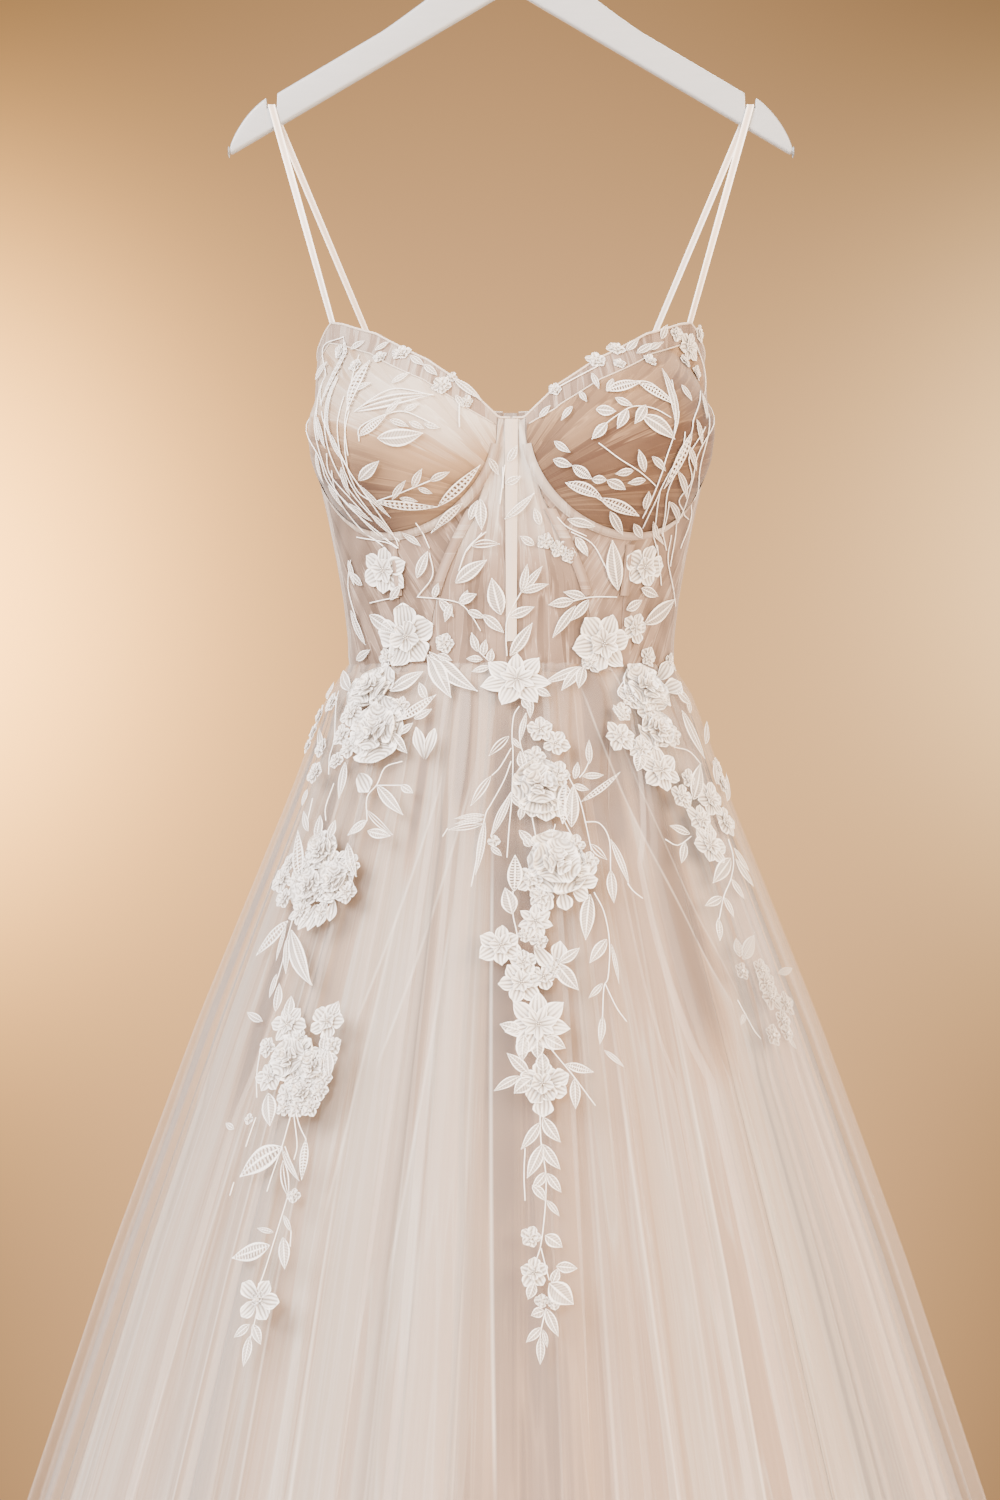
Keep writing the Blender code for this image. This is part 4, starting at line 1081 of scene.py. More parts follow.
def bezier(first, handle_1, handle_2, last, count):
    """Points on a cubic curve, without its last one."""
    share = np.linspace(0.0, 1.0, count, endpoint=False)[:, None]
    first, handle_1, handle_2, last = (np.array(p) for p in (first, handle_1, handle_2, last))
    return ((1 - share) ** 3 * first + 3 * (1 - share) ** 2 * share * handle_1
            + 3 * (1 - share) * share ** 2 * handle_2 + share ** 3 * last)


def board_outline():
    """Places along the board, and its upper and lower edge there.

    The upper edge is a crown curve, a straight slope, the notch, and the curve down to the tip.
    """
    crown = bezier((0.0, HANGER_CROWN), (0.030, HANGER_CROWN), (0.062, -0.0935),
                   (0.105, upper_edge(0.105)), 40)
    inner_lip = NOTCH_AT - NOTCH_WIDTH / 2
    outer_lip = NOTCH_AT + NOTCH_WIDTH / 2
    lip = 0.0004
    notch = np.array([(inner_lip - lip, upper_edge(inner_lip - lip)),
                      (inner_lip, upper_edge(inner_lip) - lip),
                      (inner_lip + 0.0002, NOTCH_FLOOR),
                      (outer_lip - 0.0002, NOTCH_FLOOR),
                      (outer_lip, upper_edge(outer_lip) + 0.0006)])
    tip = (HANGER_HALF_WIDTH, HANGER_TIP)
    end = bezier((outer_lip + lip, upper_edge(outer_lip) + 0.0012), (0.2065, -0.1815),
                 (0.2205, -0.2010), tip, 24)
    upper = np.concatenate([crown, notch, end, [tip]])
    x = np.unique(np.concatenate([np.linspace(0.0, 0.182, 60), upper[len(crown):, 0],
                                  np.linspace(0.2, HANGER_HALF_WIDTH, 20)]))
    low = lower_edge(x) + 0.004 * np.clip((x - 0.2195) / 0.0033, 0.0, 1.0) ** 2
    return x, np.interp(x, upper[:, 0], upper[:, 1]), low


def make_board():
    """Board: a rounded rectangle carried outwards between its upper and lower edge."""
    x, top, low = (np.concatenate([sign * line[:0:-1], line]) for sign, line in
                   zip((-1.0, 1.0, 1.0), board_outline()))
    corner = np.radians(np.linspace(0.0, 90.0, 6))
    outwards = HANGER_THICK / 2 - HANGER_ROUNDING + HANGER_ROUNDING * np.sin(corner)
    down = -HANGER_ROUNDING + HANGER_ROUNDING * np.cos(corner)
    y = np.concatenate([-outwards[::-1], outwards])
    drop = np.concatenate([down[::-1], down])
    section = np.concatenate([y, y[::-1]])
    heights = np.concatenate([top[:, None] + drop, low[:, None] - drop[::-1]], axis=1)
    ring = np.stack([*np.broadcast_arrays(x[:, None], section), heights], axis=-1)
    # Each end is closed by three rings that shrink to its middle and stand out a little further.
    middle = 0.5 * (ring[[0, -1]].min(axis=1) + ring[[0, -1]].max(axis=1))[:, None]
    caps = middle + (ring[[0, -1]] - middle) * np.array([0.02, 0.6, 0.9])[:, None, None, None]
    proud = np.array([0.0008, 0.0, 0.0]) * np.array([1.0, 0.9, 0.5])[:, None, None]
    grid = np.concatenate([caps[:, 0] - proud, ring, (caps[:, 1] + proud)[::-1]])
    mesh_piece("board_rounded", grid, grid_faces(len(grid), len(section), around=True), ["board"],
               "painted_wood", ("hanger_board",))


def make_hook():
    """Hook: a wire up out of the board, into a curve that leans over, and round most of a circle."""
    middle = -HOOK_BEND + HOOK_WIRE
    bend = np.radians(np.linspace(-52.0, 218.0, 70))
    circle = np.stack([HOOK_BEND * np.cos(bend), middle + HOOK_BEND * np.sin(bend)], axis=-1)
    into = bezier((0.0, HANGER_CROWN + 0.008), (0.0, HANGER_CROWN + 0.017),
                  (circle[0][0] - 0.0080, circle[0][1] - 0.0062), tuple(circle[0]), 16)
    stem = np.stack([np.zeros(8), np.linspace(HOOK_STEM_FOOT, HANGER_CROWN + 0.006, 8)], axis=-1)
    line = np.concatenate([stem, into, circle])
    path = np.stack([line[:, 0], 0.0 * line[:, 0], line[:, 1]], axis=-1)
    mesh_piece("hook_wire", *tube_mesh(path, HOOK_WIRE, sides=16), ["wire"], "nickel_wire",
               ("hanger_hook",))


# ---------------------------------------------------------------- lace applique
# The lace chart, in squares across and down. A leaf or petal is its foot, the run from there to its
# tip and half its width, then its work if that isn't satin, and the sideways bow of its spine if it
# has one. A flower is its middle and radius, then its petals if they aren't five and its turn if it
# has one. A rose is its middle, radius and turn. A cord is its foot and the runs from place to place.
SATIN, LADDER, OPEN, NET, PETAL = range(5)
S, L, O, N, P = SATIN, LADDER, OPEN, NET, PETAL
LACE = {
    "lace_cup_left": {"over": "spray_cup_left",
        "leaves": ((345, 337, -22, 69, 3.5, L, -0.2), (340, 375, -3, 70, 2.5, S, 0.15),
        (371, 362, -21, 50, 5.5, L, 0.1), (355, 412, 78, -16, 6, O, -0.2), (360, 436, 27, -20, 4, L),
        (386, 415, 16, -15, 3), (390, 420, 19, 7, 3), (404, 412, 15, -7, 3), (409, 422, 15, 7, 3),
        (424, 424, 15, 4, 3), (378, 438, 45, -5, 8.5, S, 0.12), (360, 479, 20, -19, 5.5),
        (376, 500, 62, 5, 5, L, 0.12), (438, 505, 41, -41, 5, L, 0.1), (393, 498, 13, -19, 3),
        (413, 487, 9, -19, 3.5), (430, 480, 19, -9, 3.5), (418, 487, 14, 5, 3), (400, 497, 18, 3, 3),
        (462, 502, -30, 31, 4.5, L), (403, 531, 19, 15, 4), (411, 357, 13, 10, 3.5),
        (424, 366, 13, 11, 3.5), (453, 380, 27, 21, 4), (455, 396, 8, 12, 3), (361, 484, 31, 32, 3, S, 0.1),
        (320, 418, 8, 30, 3.5), (331, 432, 13, 28, 3), (318, 452, 8, 30, 3.5), (343, 466, 9, 28, 3.5),
        (350, 502, 24, 18, 3.5), (330, 484, 15, 22, 3.5), (372, 512, 20, 20, 3.5), (352, 392, 20, -8, 3.5),
        (392, 384, 18, -10, 3.5), (318, 380, 12, -18, 4), (352, 350, 14, -9, 4), (376, 352, 14, -9, 3.5)),
        "flowers": ((401, 354, 8.5, 5, 20), (441, 386, 9, 5, 60), (451, 378, 5), (356, 366, 7, 5, 10),
        (341, 352, 7, 5, 10), (466, 402, 6, 5, 10), (380, 358, 6, 5, 40)),
        "cords": ((345, 337, -21, 15, -1, 54), (323, 412, 15, 35, 12, 23, 22, 32, 27, 44),
        (314, 404, 3, 46, 12, 31, 18, 20, 29, 30, 23, 17), (328, 453, 3, 20, 19, 23, 13, 14),
        (350, 412, -4, 38, 11, 38, 16, 13), (337, 445, 21, 37), (358, 537, 28, 5, 12, 6),
        (339, 379, -13, 41, 8, 41, 31, 46, 35, 34), (318, 408, 4, 47, 23, 45, 44, 40),
        (345, 397, -6, 40, 13, 47, 29, 40), (360, 356, -10, 41, -4, 33, 3, 25), (326, 368, -7, 35, 1, 37),
        (333, 470, 8, 30, 21, 28, 22, 18), (360, 441, 1, -14, 25, -12, 18, -3, 20, 8, 15, 8),
        (378, 500, 20, -7, 15, -6, 17, -7), (416, 522, 14, 26), (459, 403, 0, 24),
        (441, 386, 10, -8, 29, 23), (355, 412, 37, -22, 41, 6))},
    "lace_cup_right": {"over": "spray_cup_right",
        "leaves": ((592, 374, 7, 16, 3), (580, 392, 7, 11, 3), (573, 407, -11, 14, 3),
        (626, 352, 12, -13, 4), (636, 355, 15, -10, 4), (648, 352, 14, -10, 4), (660, 339, 6, -14, 4),
        (613, 380, -7, 12, 3), (607, 392, 33, -8, 5.5, L, -0.1), (638, 384, 35, 22, 5.5, L, -0.2),
        (661, 370, 12, 63, 4, S, -0.15), (615, 399, 17, 8, 4), (596, 410, 20, 2, 5.5),
        (627, 410, -10, 19, 5), (645, 406, -11, 18, 5), (607, 423, -15, 16, 5),
        (641, 416, 32, 23, 7.5, S, -0.1), (644, 471, -6, -22, 4), (633, 470, -18, 3, 4),
        (645, 479, -18, 3, 4), (554, 459, 19, 6, 4.5), (573, 465, 19, 13, 5, L), (592, 478, 15, 1, 4.5),
        (607, 479, 18, 9, 5), (566, 482, 36, 15, 6, L, -0.08), (600, 497, 38, 17, 6, L, 0.08),
        (690, 432, -28, 55, 5.5, L, 0.1), (644, 508, 4, -18, 4), (610, 510, 12, 23, 4.5),
        (633, 522, 8, 15, 4), (567, 519, 28, 6, 5), (575, 537, 11, 17, 4.5), (700, 395, 4, 25, 3.5),
        (695, 420, 5, 25, 3.5), (686, 445, 8, 25, 3.5), (676, 470, 8, 27, 3.5), (668, 500, 8, 22, 3.5),
        (652, 520, 10, 25, 3.5), (555, 441, 16, 11, 3.5), (540, 418, 11, -12, 3), (680, 386, 10, 16, 4),
        (651, 456, 13, 14, 3.5)),
        "flowers": ((555, 390, 6), (596, 361, 9, 5, 20), (615, 349, 8, 5, 50), (619, 364, 5.5),
        (688, 347, 13, 6, 10), (698, 334, 8), (684, 362, 8, 5, 30), (695, 374, 8), (676, 334, 7, 5, 20),
        (650, 361, 6)),
        "cords": ((555, 390, 22, -12, 21, -11), (699, 392, -6, 26, -3, 15, -22, 40, -15, 31, -11, 23),
        (678, 412, -10, 38, -7, 23, -19, 44), (704, 427, -16, 28, 2, 26, -12, 21, 9, 17),
        (668, 501, -3, 49), (659, 491, -3, 20, 0, 39), (695, 345, 9, 40, -2, 58, -12, 41, -15, 40, -6, 42),
        (684, 432, -5, 29, -13, 34, -5, 41), (707, 414, -9, 58, -8, 41, -11, 35),
        (670, 418, -17, -9, -20, -2, -15, 8, -12, 9, -14, 15), (655, 485, -17, -15, -19, -12, -20, -15),
        (557, 517, 10, 10, 19, 9), (671, 381, 3, 25, -1, 27), (607, 392, 18, -8, 25, 0, 23, 22),
        (566, 482, 26, 12, 21, 12, 25, 8))},
    "lace_waist_centre": {"over": "flower_waist_centre",
        "leaves": ((488, 458, 11, 17, 4), (481, 499, 1, 31, 6), (508, 462, 9, -17, 4),
        (505, 484, 16, -8, 4), (505, 519, 29, -26, 4, S, 0.1), (472, 546, 28, -2, 4, O, -0.2),
        (456, 583, 31, -23, 7), (501, 615, -9, -37, 8.5), (483, 615, 21, 18, 5), (509, 617, 25, -10, 5),
        (510, 656, 22, -33, 6), (521, 592, 6, -28, 4), (521, 592, 21, -26, 4), (521, 592, 27, -8, 4),
        (478, 652, -6, -19, 4), (483, 656, 3, -16, 4), (490, 663, 2, -14, 4), (483, 660, -16, -1, 4),
        (490, 668, -18, 5, 4), (536, 690, 14, 7, 4.5), (522, 700, 9, 11, 4), (540, 525, -6, -17, 4),
        (534, 545, -14, -9, 4), (470, 520, 8, -20, 4)),
        "flowers": ((545, 541, 7.5), (558, 548, 7.5, 5, 30), (569, 555, 6.5), (517, 680, 28, 7, 95)),
        "cords": ((505, 465, -5, 39), (482, 533, -17, 20), (503, 467, 0, 21), (486, 532, -18, 16, -9, 23),
        (507, 656, -1, -20, 2, -19, 13, -25), (499, 670, -22, -21, -5, -16), (505, 519, 15, -14, 14, -12))},
    "lace_waist_left": {"over": "flower_waist_left",
        "leaves": ((371, 615, 26, 18, 7), (353, 610, 15, 35, 5, S, 0.1), (428, 655, 24, 44, 7.5, S, -0.1),
        (430, 652, 48, 41, 7.5, S, 0.1), (438, 655, 15, 6, 4), (418, 578, 11, -27, 5),
        (440, 600, 14, 17, 4.5), (459, 603, 18, -9, 5), (468, 611, 17, 7, 4), (462, 606, 6, -16, 4),
        (434, 598, 5, -15, 3.5), (452, 604, -6, 18, 4), (358, 660, 14, -10, 4.5), (364, 585, -12, -13, 4.5),
        (392, 600, 10, -15, 4), (350, 560, 6, 25, 4), (428, 700, -8, -16, 4)),
        "flowers": ((384, 570, 22, 6, 80), (407, 637, 27, 5, 95), (445, 643, 9), (388, 658, 9, 5, 40)),
        "cords": ((371, 603, 28, -6), (430, 553, 3, 23, -15, 21), (418, 597, 22, 2, 19, 4, 11, 10, 11, 18),
        (352, 560, -2, 30, 8, 30))},
    "lace_waist_right": {"over": "flower_waist_right",
        "leaves": ((580, 668, -37, 17, 5), (580, 668, -19, 24, 5), (583, 668, -5, 22, 5),
        (585, 598, -22, -6, 4.5), (573, 601, -25, 4, 5), (588, 600, -18, 21, 5),
        (575, 606, -23, 32, 5, S, 0.1), (617, 590, -6, -50, 8.5), (578, 541, 9, 15, 4),
        (643, 624, 29, -25, 9), (640, 588, 16, 8, 5), (625, 610, 15, -10, 5)),
        "flowers": ((603, 644, 26, 6, 70), (644, 567, 19, 5, 80), (634, 628, 13), (590, 664, 10)),
        "cords": ((616, 597, -24, 0, -19, 4), (617, 590, -12, -23, -13, -23, -21, -12),
        (670, 535, -3, 29, 7, 42), (656, 545, 4, 40))},
    "lace_hip_left": {"over": "cluster_hip_left",
        "leaves": ((391, 692, 33, -19, 9), (400, 721, 37, -25, 5.5, L), (415, 720, 18, -10, 4),
        (392, 733, 16, 21, 5.5), (400, 735, 14, -11, 4), (425, 760, -8, -33, 6, P),
        (426, 760, 10, -32, 6, P), (360, 774, 10, 20, 9, P), (347, 763, -6, 37, 5), (378, 786, 26, 30, 5.5),
        (402, 786, 12, 8, 4), (322, 729, 3, 25, 5, P), (309, 790, -5, 17, 4), (352, 692, -6, -20, 6),
        (330, 700, -8, -16, 5)),
        "flowers": ((337, 761, 8.5), (317, 716, 9), (312, 733, 8, 5, 20), (305, 746, 7, 4), (316, 773, 11),
        (352, 714, 13), (333, 703, 9, 5, 20), (401, 706, 9, 5, 10), (350, 748, 10), (392, 722, 9, 5, 20),
        (322, 748, 9), (342, 736, 10, 5, 30)),
        "roses": ((371, 689, 21, 20), (376, 731, 26, 60)),
        "cords": ((403, 762, -17, 6, -8, 17, -10, 13, 0, 23), (378, 786, 24, 0),
        (340, 692, -4, 44, -5, 21, -1, 18), (314, 799, -5, 22), (335, 784, -8, 23, 0, 14))},
    "lace_rose_left": {"over": "rose_left",
        "leaves": ((368, 821, -19, 15, 5, L), (368, 811, 26, 25, 3, O), (369, 832, 23, 5, 5, L),
        (318, 840, 4, -24, 6), (330, 840, 7, -19, 5.5), (302, 880, -1, -48, 8, L),
        (318, 905, -19, 27, 6, P), (322, 905, -13, 28, 6, P), (328, 905, -9, 24, 6, P),
        (335, 900, -4, 23, 6, P), (349, 844, 9, 34, 5, S, 0.1), (290, 922, -31, 35, 7.5, L),
        (288, 926, -10, 36, 2.5), (289, 938, -1, 37, 4), (293, 931, 20, 55, 8.5, S, 0.15),
        (278, 975, -7, 24, 3.5), (310, 832, -4, -20, 4)),
        "flowers": ((336, 868, 15, 6), (325, 886, 16, 6, 20), (283, 880, 12), (290, 864, 9),
        (285, 899, 10, 5, 20), (304, 899, 11), (347, 893, 11), (310, 862, 11, 5, 30), (298, 882, 12, 6, 10),
        (302, 912, 12, 6, 30), (322, 914, 11, 5, 10), (352, 866, 10)),
        "roses": ((322, 852, 16, 0), (336, 880, 19, 40), (311, 886, 17, 90)),
        "cords": ((296, 912, -7, 26, -6, 27, -8, 25), (314, 838, 4, 14), (368, 821, -8, 8, -11, 7),
        (293, 931, 7, 19, 13, 36))},
    "lace_flowers_left": {"over": "flowers_left",
        "leaves": ((277, 1012, 4, -28, 5.5, S, 0.15), (289, 1018, 4, -21, 6.5), (334, 1015, 6, -13, 4.5),
        (324, 1052, 2, -18, 5.5), (330, 1078, -1, -30, 6), (270, 1094, 2, 33, 8.5), (264, 1022, -15, -9, 4)),
        "flowers": ((289, 1025, 18, 6), (328, 1022, 15), (271, 1077, 14, 6, 10), (289, 1095, 12),
        (306, 1085, 11, 5, 10), (320, 1091, 9), (311, 1107, 9, 5, 20), (300, 1040, 9), (268, 1048, 9),
        (332, 1046, 9, 5, 30), (285, 1108, 8), (280, 1060, 11), (324, 1062, 12, 5, 20),
        (296, 1078, 12, 6, 40), (323, 1079, 10, 5, 10), (298, 1108, 9, 5, 20)),
        "roses": ((291, 1059, 20, 30), (314, 1066, 14, 0), (303, 1092, 12, 50)),
        "cords": ((257, 1118, -5, 14, -5, 15), (262, 1048, -4, 27, 0, 23))},
    "lace_spray_left": {"over": "spray_left",
        "leaves": ((307, 1140, -4, 41, 4.5, L), (284, 1148, -42, 30, 12, L, 0.15), (284, 1150, 17, 32, 3),
        (284, 1161, 6, 37, 4.5, O), (285, 1216, 8, 17, 2.5), (275, 1233, -16, -4, 2.5),
        (284, 1238, 2, 32, 6), (271, 1246, -37, 13, 8.5, L), (236, 1130, -8, -6, 3)),
        "flowers": ((295, 1196, 6.5, 4), (250, 1120, 5, 4)),
        "cords": ((297, 1099, -7, 23, -6.5, 23, -11.5, 34, -4, 13), (296, 1107, 4, 18, 7, 15),
        (295, 1116, 3, 29, -3, 15), (286, 1147, 12, 32), (288, 1199, -12, 39, -12, 38, -6, 14),
        (292, 1232, -1, 15), (235, 1183, -4, 13))},
    "lace_left_tip": {"over": "flower_left_tip",
        "leaves": ((259, 1299, -16, -16, 8, P), (259, 1299, 12, -18, 8, P), (260, 1300, 22, 3, 8, P),
        (258, 1302, -16, 16, 8, P), (260, 1302, 8, 19, 8, P), (251, 1325, -15, 13, 4.5),
        (254, 1325, 8, 20, 5), (251, 1337, -6, 30, 5)),
        "flowers": ((259, 1300, 7),),
        "cords": ((258, 1312, -3, 13, -4, 15),)},
    "lace_rose_centre_upper": {"over": "rose_centre_upper",
        "leaves": ((530, 698, 0, 21, 3.5), (526, 714, -6, 29, 2.5), (512, 739, 9, 11, 2.5),
        (535, 800, -4, 19, 8, P), (545, 804, 1, 19, 9, P), (555, 802, 5, 17, 8, P),
        (565, 784, -3, 41, 7.5, L), (571, 828, 2, -42, 7.5), (588.6, 765, -0.6, -24, 3.5),
        (582, 777, 21, -1, 3.5), (574, 780, 3, -17, 3.5), (572.6, 786, 15.4, 5, 3.5),
        (580.6, 802.5, 38.4, -29.5, 3, L), (511, 796, 12, 13, 3.5), (522, 808, -2, 13, 3.5),
        (524, 770, -4, -18, 5)),
        "flowers": ((540, 730, 11, 5, 90), (555, 744, 12, 5, 60), (534, 757, 10), (558, 775, 11)),
        "roses": ((539, 786, 22, 0),),
        "cords": ((519, 707, -5.4, 10, -1.6, 20, 1, 17, -1, 40, -3, 36, -2, 28),
        (526, 714, -6, 13, 0, 16, 4, 13), (564.5, 770, 13.5, 27, 6.6, 24, 6.4, 30),
        (579, 778, 5, -6, 4.6, -10), (532, 818, 4, 21), (555, 825, -3, 12), (558, 810, 13, 25))},
    "lace_spray_centre_left": {"over": "spray_centre_left",
        "leaves": ((509, 737, -20, 20, 4, O, 0.1), (491, 777, -20, 30, 4, O), (485, 816, -30, 4, 2.5),
        (485, 820, -30, 5, 2.5), (483, 825, -34, 6, 3.5, O), (485, 821, -9, 55, 3.5),
        (511, 793, -20, 45, 3), (491, 848, 11, 9, 3)),
        "flowers": ((494, 842, 5, 4),),
        "cords": ((511, 749, -11, 19, -8, 8), (511, 762, -7, 19, -13, 24, -5.5, 11, -6.5, 32, -7.5, 39),
        (448, 829, -5, 8), (511, 793, -13.4, 21.5, -6.6, 22.5))},
    "lace_spray_centre_right": {"over": "spray_centre_right",
        "leaves": ((610, 840, 18, 46, 3.5, S, -0.1), (610, 871, 3, 33, 5), (590, 845, 16, 16, 4, O),
        (589.5, 895, -4.5, 46, 7), (606, 940, -17, 24, 5.5), (610.5, 945, 7.5, 40, 2),
        (602, 984, -14, 15, 3), (602, 1017, -3, 28, 3.5), (603.5, 1051, 19.5, 17, 2.5)),
        "cords": ((584.6, 822.6, 14.4, 1.4, 9.7, 16, 1.3, 31), (627, 884, 6, 8, 9, 7),
        (593.7, 893, 9.8, 19.5, 5.5, 29.5, -1.3, 35, -4.2, 11, -1.5, 31), (605, 985, 11, 23, 10, 14))},
    "lace_rose_centre_lower": {"over": "rose_centre_lower",
        "leaves": ((519, 831, 17, 17, 4.5), (514, 892, 1, -36, 7.5, L), (512, 915, -7, -26, 8),
        (574, 880, 22, -18, 8, P), (574, 884, 24, -4, 8, P), (572, 890, 16, 10, 8, P),
        (562, 893, 4, 19, 8, P), (546, 892, -2, 22, 8, P), (530, 848, -6, -10, 4)),
        "flowers": ((588, 862, 9), (530, 880, 12), (541, 898, 11), (575, 845, 9)),
        "roses": ((556, 864, 25, 40),),
        "cords": ((513, 892, 0, 23, 4, 20, 0, 20),)},
    "lace_flowers_centre": {"over": "flowers_centre",
        "leaves": ((534, 946, 18, 24, 7.5, P), (556, 966, 4, -25, 7.5, P), (558, 964, 21, -15, 5),
        (556, 964, 22, 27, 8)),
        "flowers": ((535, 922, 15.5, 7, 90), (525, 935, 6.5, 4), (539, 941, 8, 4), (501, 946, 18, 6, 90),
        (523, 963, 12, 5, 90), (521, 983, 18.5, 6, 70), (543, 977, 11), (554, 969, 9)),
        "cords": ((505, 955, -3, 11),)},
    "lace_flower_centre_low": {"over": "flower_centre_low",
        "leaves": ((522, 1032, -22, -7, 6.5), (545, 1038, 20, 11, 7), (524, 1036, -2, 26, 6.5),
        (537, 1038, 1, 22, 6.5), (565, 1065, 28, 8, 4.5, L), (574, 1079.5, 1, 30.5, 5)),
        "flowers": ((538, 1025, 27, 7, 90),),
        "cords": ((548.8, 1047, 15.2, 18.4, 11.4, 14.1, 19.6, 26.5),)},
    "lace_flower_centre_lowest": {"over": "flower_centre_lowest",
        "leaves": ((543, 1072, -1.5, -19, 6.5), (529, 1075, -22, -21, 5.5), (520, 1077, -26, 15, 4.5),
        (532, 1079, -18, 15, 7.5), (543, 1094, 0, 25, 9.5, P), (550, 1082, 19, -7, 8.5, P),
        (550, 1088, 17, 6, 8.5, P)),
        "flowers": ((542, 1084, 18, 5, 90),),
        "cords": ((542, 1108, -2, 12),)},
    "lace_spray_centre_tip": {"over": "spray_centre_tip",
        "leaves": ((540, 1123, -19, 27, 5, S, -0.1), (542.7, 1118, 17.3, 25, 6, S, 0.1),
        (542.7, 1145, -15.7, 34, 6, S, -0.1), (542.7, 1145, 17.3, 25, 5.5, S, 0.1),
        (545.5, 1173, -13.5, 16, 4.5, S, -0.2), (532, 1186, 13.5, 16, 4.5, S, -0.2),
        (547, 1174, 14, 19, 4.5, S, 0.1), (546.4, 1201, 12.6, 16, 3), (545, 1236, 17, 12, 6.5, N),
        (556, 1267, 21, 2, 5.5), (552, 1284, 6, -15, 4.5), (549, 1284, 24, 21, 11, N),
        (544, 1311, -13, 5, 5), (545.5, 1309, 12.5, 28, 5), (541, 1328, -15, 15, 4),
        (542.7, 1330, 4.3, 18, 2.5), (540, 1338, 0, 27, 4), (534, 1284, -6, 16, 5, N)),
        "flowers": ((530.7, 1238, 9), (534, 1273, 12.5, 5, 20), (542, 1301, 6, 4), (554, 1303, 6, 4)),
        "cords": ((540, 1116, 1, 27.6, 4.5, 29.4, 0, 28, -2.8, 31, -2.7, 17), (525, 1149, -1, 26, 1, 26),
        (540, 1249, -5.6, 16.7), (541, 1249, 8, 31.5), (545.5, 1310, -4.5, 20, -1, 11))},
    "lace_hip_right": {"over": "cluster_hip_right",
        "leaves": ((655, 682, 14, -21, 8, P), (660, 692, 19, -8, 9, P), (674, 692, 14, 13, 7),
        (687, 702, 1, 12, 4), (680, 711, 22, 49, 7), (703, 745, 5, -23, 5), (640, 752, -4, 20, 7, L),
        (625, 720, -13, -14, 5)),
        "flowers": ((630, 697, 11), (668, 663, 9), (647, 658, 9), (622, 713, 9, 5, 20), (619, 737, 14, 6),
        (640, 750, 14, 6, 20), (660, 771, 20, 6, 90), (672, 735, 9), (648, 712, 11, 5, 40)),
        "roses": ((646, 690, 24, 0), (657, 731, 17, 30)),
        "cords": ((672.8, 747.7, 15.2, 4.3, 11.5, 12.6), (624, 680, -7, 14, 13, 10))},
    "lace_cluster_right": {"over": "cluster_right",
        "leaves": ((692, 800, 6, -35, 9), (725, 802, 2, -28, 5.5), (688, 835, -20, -8, 4.5),
        (715, 785, -3, -23, 6)),
        "flowers": ((709, 800, 17, 6), (700, 821, 15, 6, 20), (725, 823, 14), (681, 797, 11),
        (721, 784, 11), (716, 768, 9), (709, 846, 18, 6), (688, 780, 9))},
    "lace_spray_right": {"over": "spray_right",
        "leaves": ((684, 843, -4, 21, 4.5), (732, 849, 15, 24, 4.5), (733.4, 860, 17.6, 28, 6),
        (729, 859, -18, 25, 7.5), (729.6, 880, 12.4, 20, 4.5), (720, 898, -17, 9, 4.5),
        (722.7, 898, 9.3, 20, 4), (716.6, 919, 1.4, 23, 4, L)),
        "cords": ((727, 840, 5, 18, -2, 20, -7.3, 18.6, -4.7, 22.9), (690, 837, -13.3, 9, -12.2, -6))},
    "lace_cluster_right_low": {"over": "cluster_right_low",
        "leaves": ((741, 960, 11, -24, 7.5, N), (738, 958, -4, -19, 6.5, N), (786, 1038, 8, 12, 3),
        (776, 974, 14, -5, 4, N), (744, 1014, -5, 12, 3, N)),
        "flowers": ((741, 972, 8), (760, 970, 10.5), (766, 984, 13, 6, 20), (770, 998, 13, 6),
        (785, 1004, 11, 5, 10), (782, 1021, 11), (772, 1036, 10), (786, 1034, 8)),
        "cords": ((736.5, 1000.7, 7.5, 13.8, 9, 16.5, 6.5, 8),)},
}
FAINT = ("lace_cluster_right_low",)     # worked in net alone, so it shows only softly

LEAF_ACROSS = np.array([-1.0, -0.90, -0.74, -0.45, -0.13, 0.0, 0.13, 0.45, 0.74, 0.90, 1.0])
OPENWORK_ACROSS = np.array([-1.0, -0.86, -0.70, -0.12, 0.0, 0.12, 0.70, 0.86, 1.0])
CORD_RADIUS = 0.00042
CORD_SIDES = 6
CORD_STEP = 0.004            # between the stations of a cord
FULLNESS = 1.22              # petals reach past the charted circle of their flower
STITCH = 0.0023              # drawn about six times coarser than real stitches, so that they show
PETAL_BED = 0.0018           # how far the beads stand over the lace's foot
BEAD_RADIUS = 0.00060
SMALL_FLOWER = 11.0 * MM
TINY_FLOWER = 5.0 * MM


def blade_grid(work):
    """Rows and places across of the grid that a leaf or petal of this work is made on."""
    return (27, OPENWORK_ACROSS) if work in (LADDER, OPEN) else (12, LEAF_ACROSS)


def blade_faces(work):
    """Faces of one leaf or petal, and their finish: 0 corded, 1 net, 2 petal. Openings are left out."""
    rows, across = blade_grid(work)
    columns = len(across)
    faces = grid_faces(rows, columns)[:, ::-1]
    row = np.repeat(np.arange(rows - 1), columns - 1)
    column = np.tile(np.arange(columns - 1), rows - 1)
    inside = (column >= 2) & (column <= columns - 4) & (row > 0) & (row < rows - 2)
    rib = (column == columns // 2) | (column == columns // 2 - 1)
    hole = inside & ~rib & (work in (LADDER, OPEN)) & ((row % 2 == 1) | (work == OPEN))
    ground = np.where(inside & ~rib & (work in (SATIN, NET)), 1, 0)
    ground = np.where(inside & (work == PETAL), 2, ground)
    return faces[~hole], ground[~hole]


BLADE_FACES = [blade_faces(work) for work in range(5)]


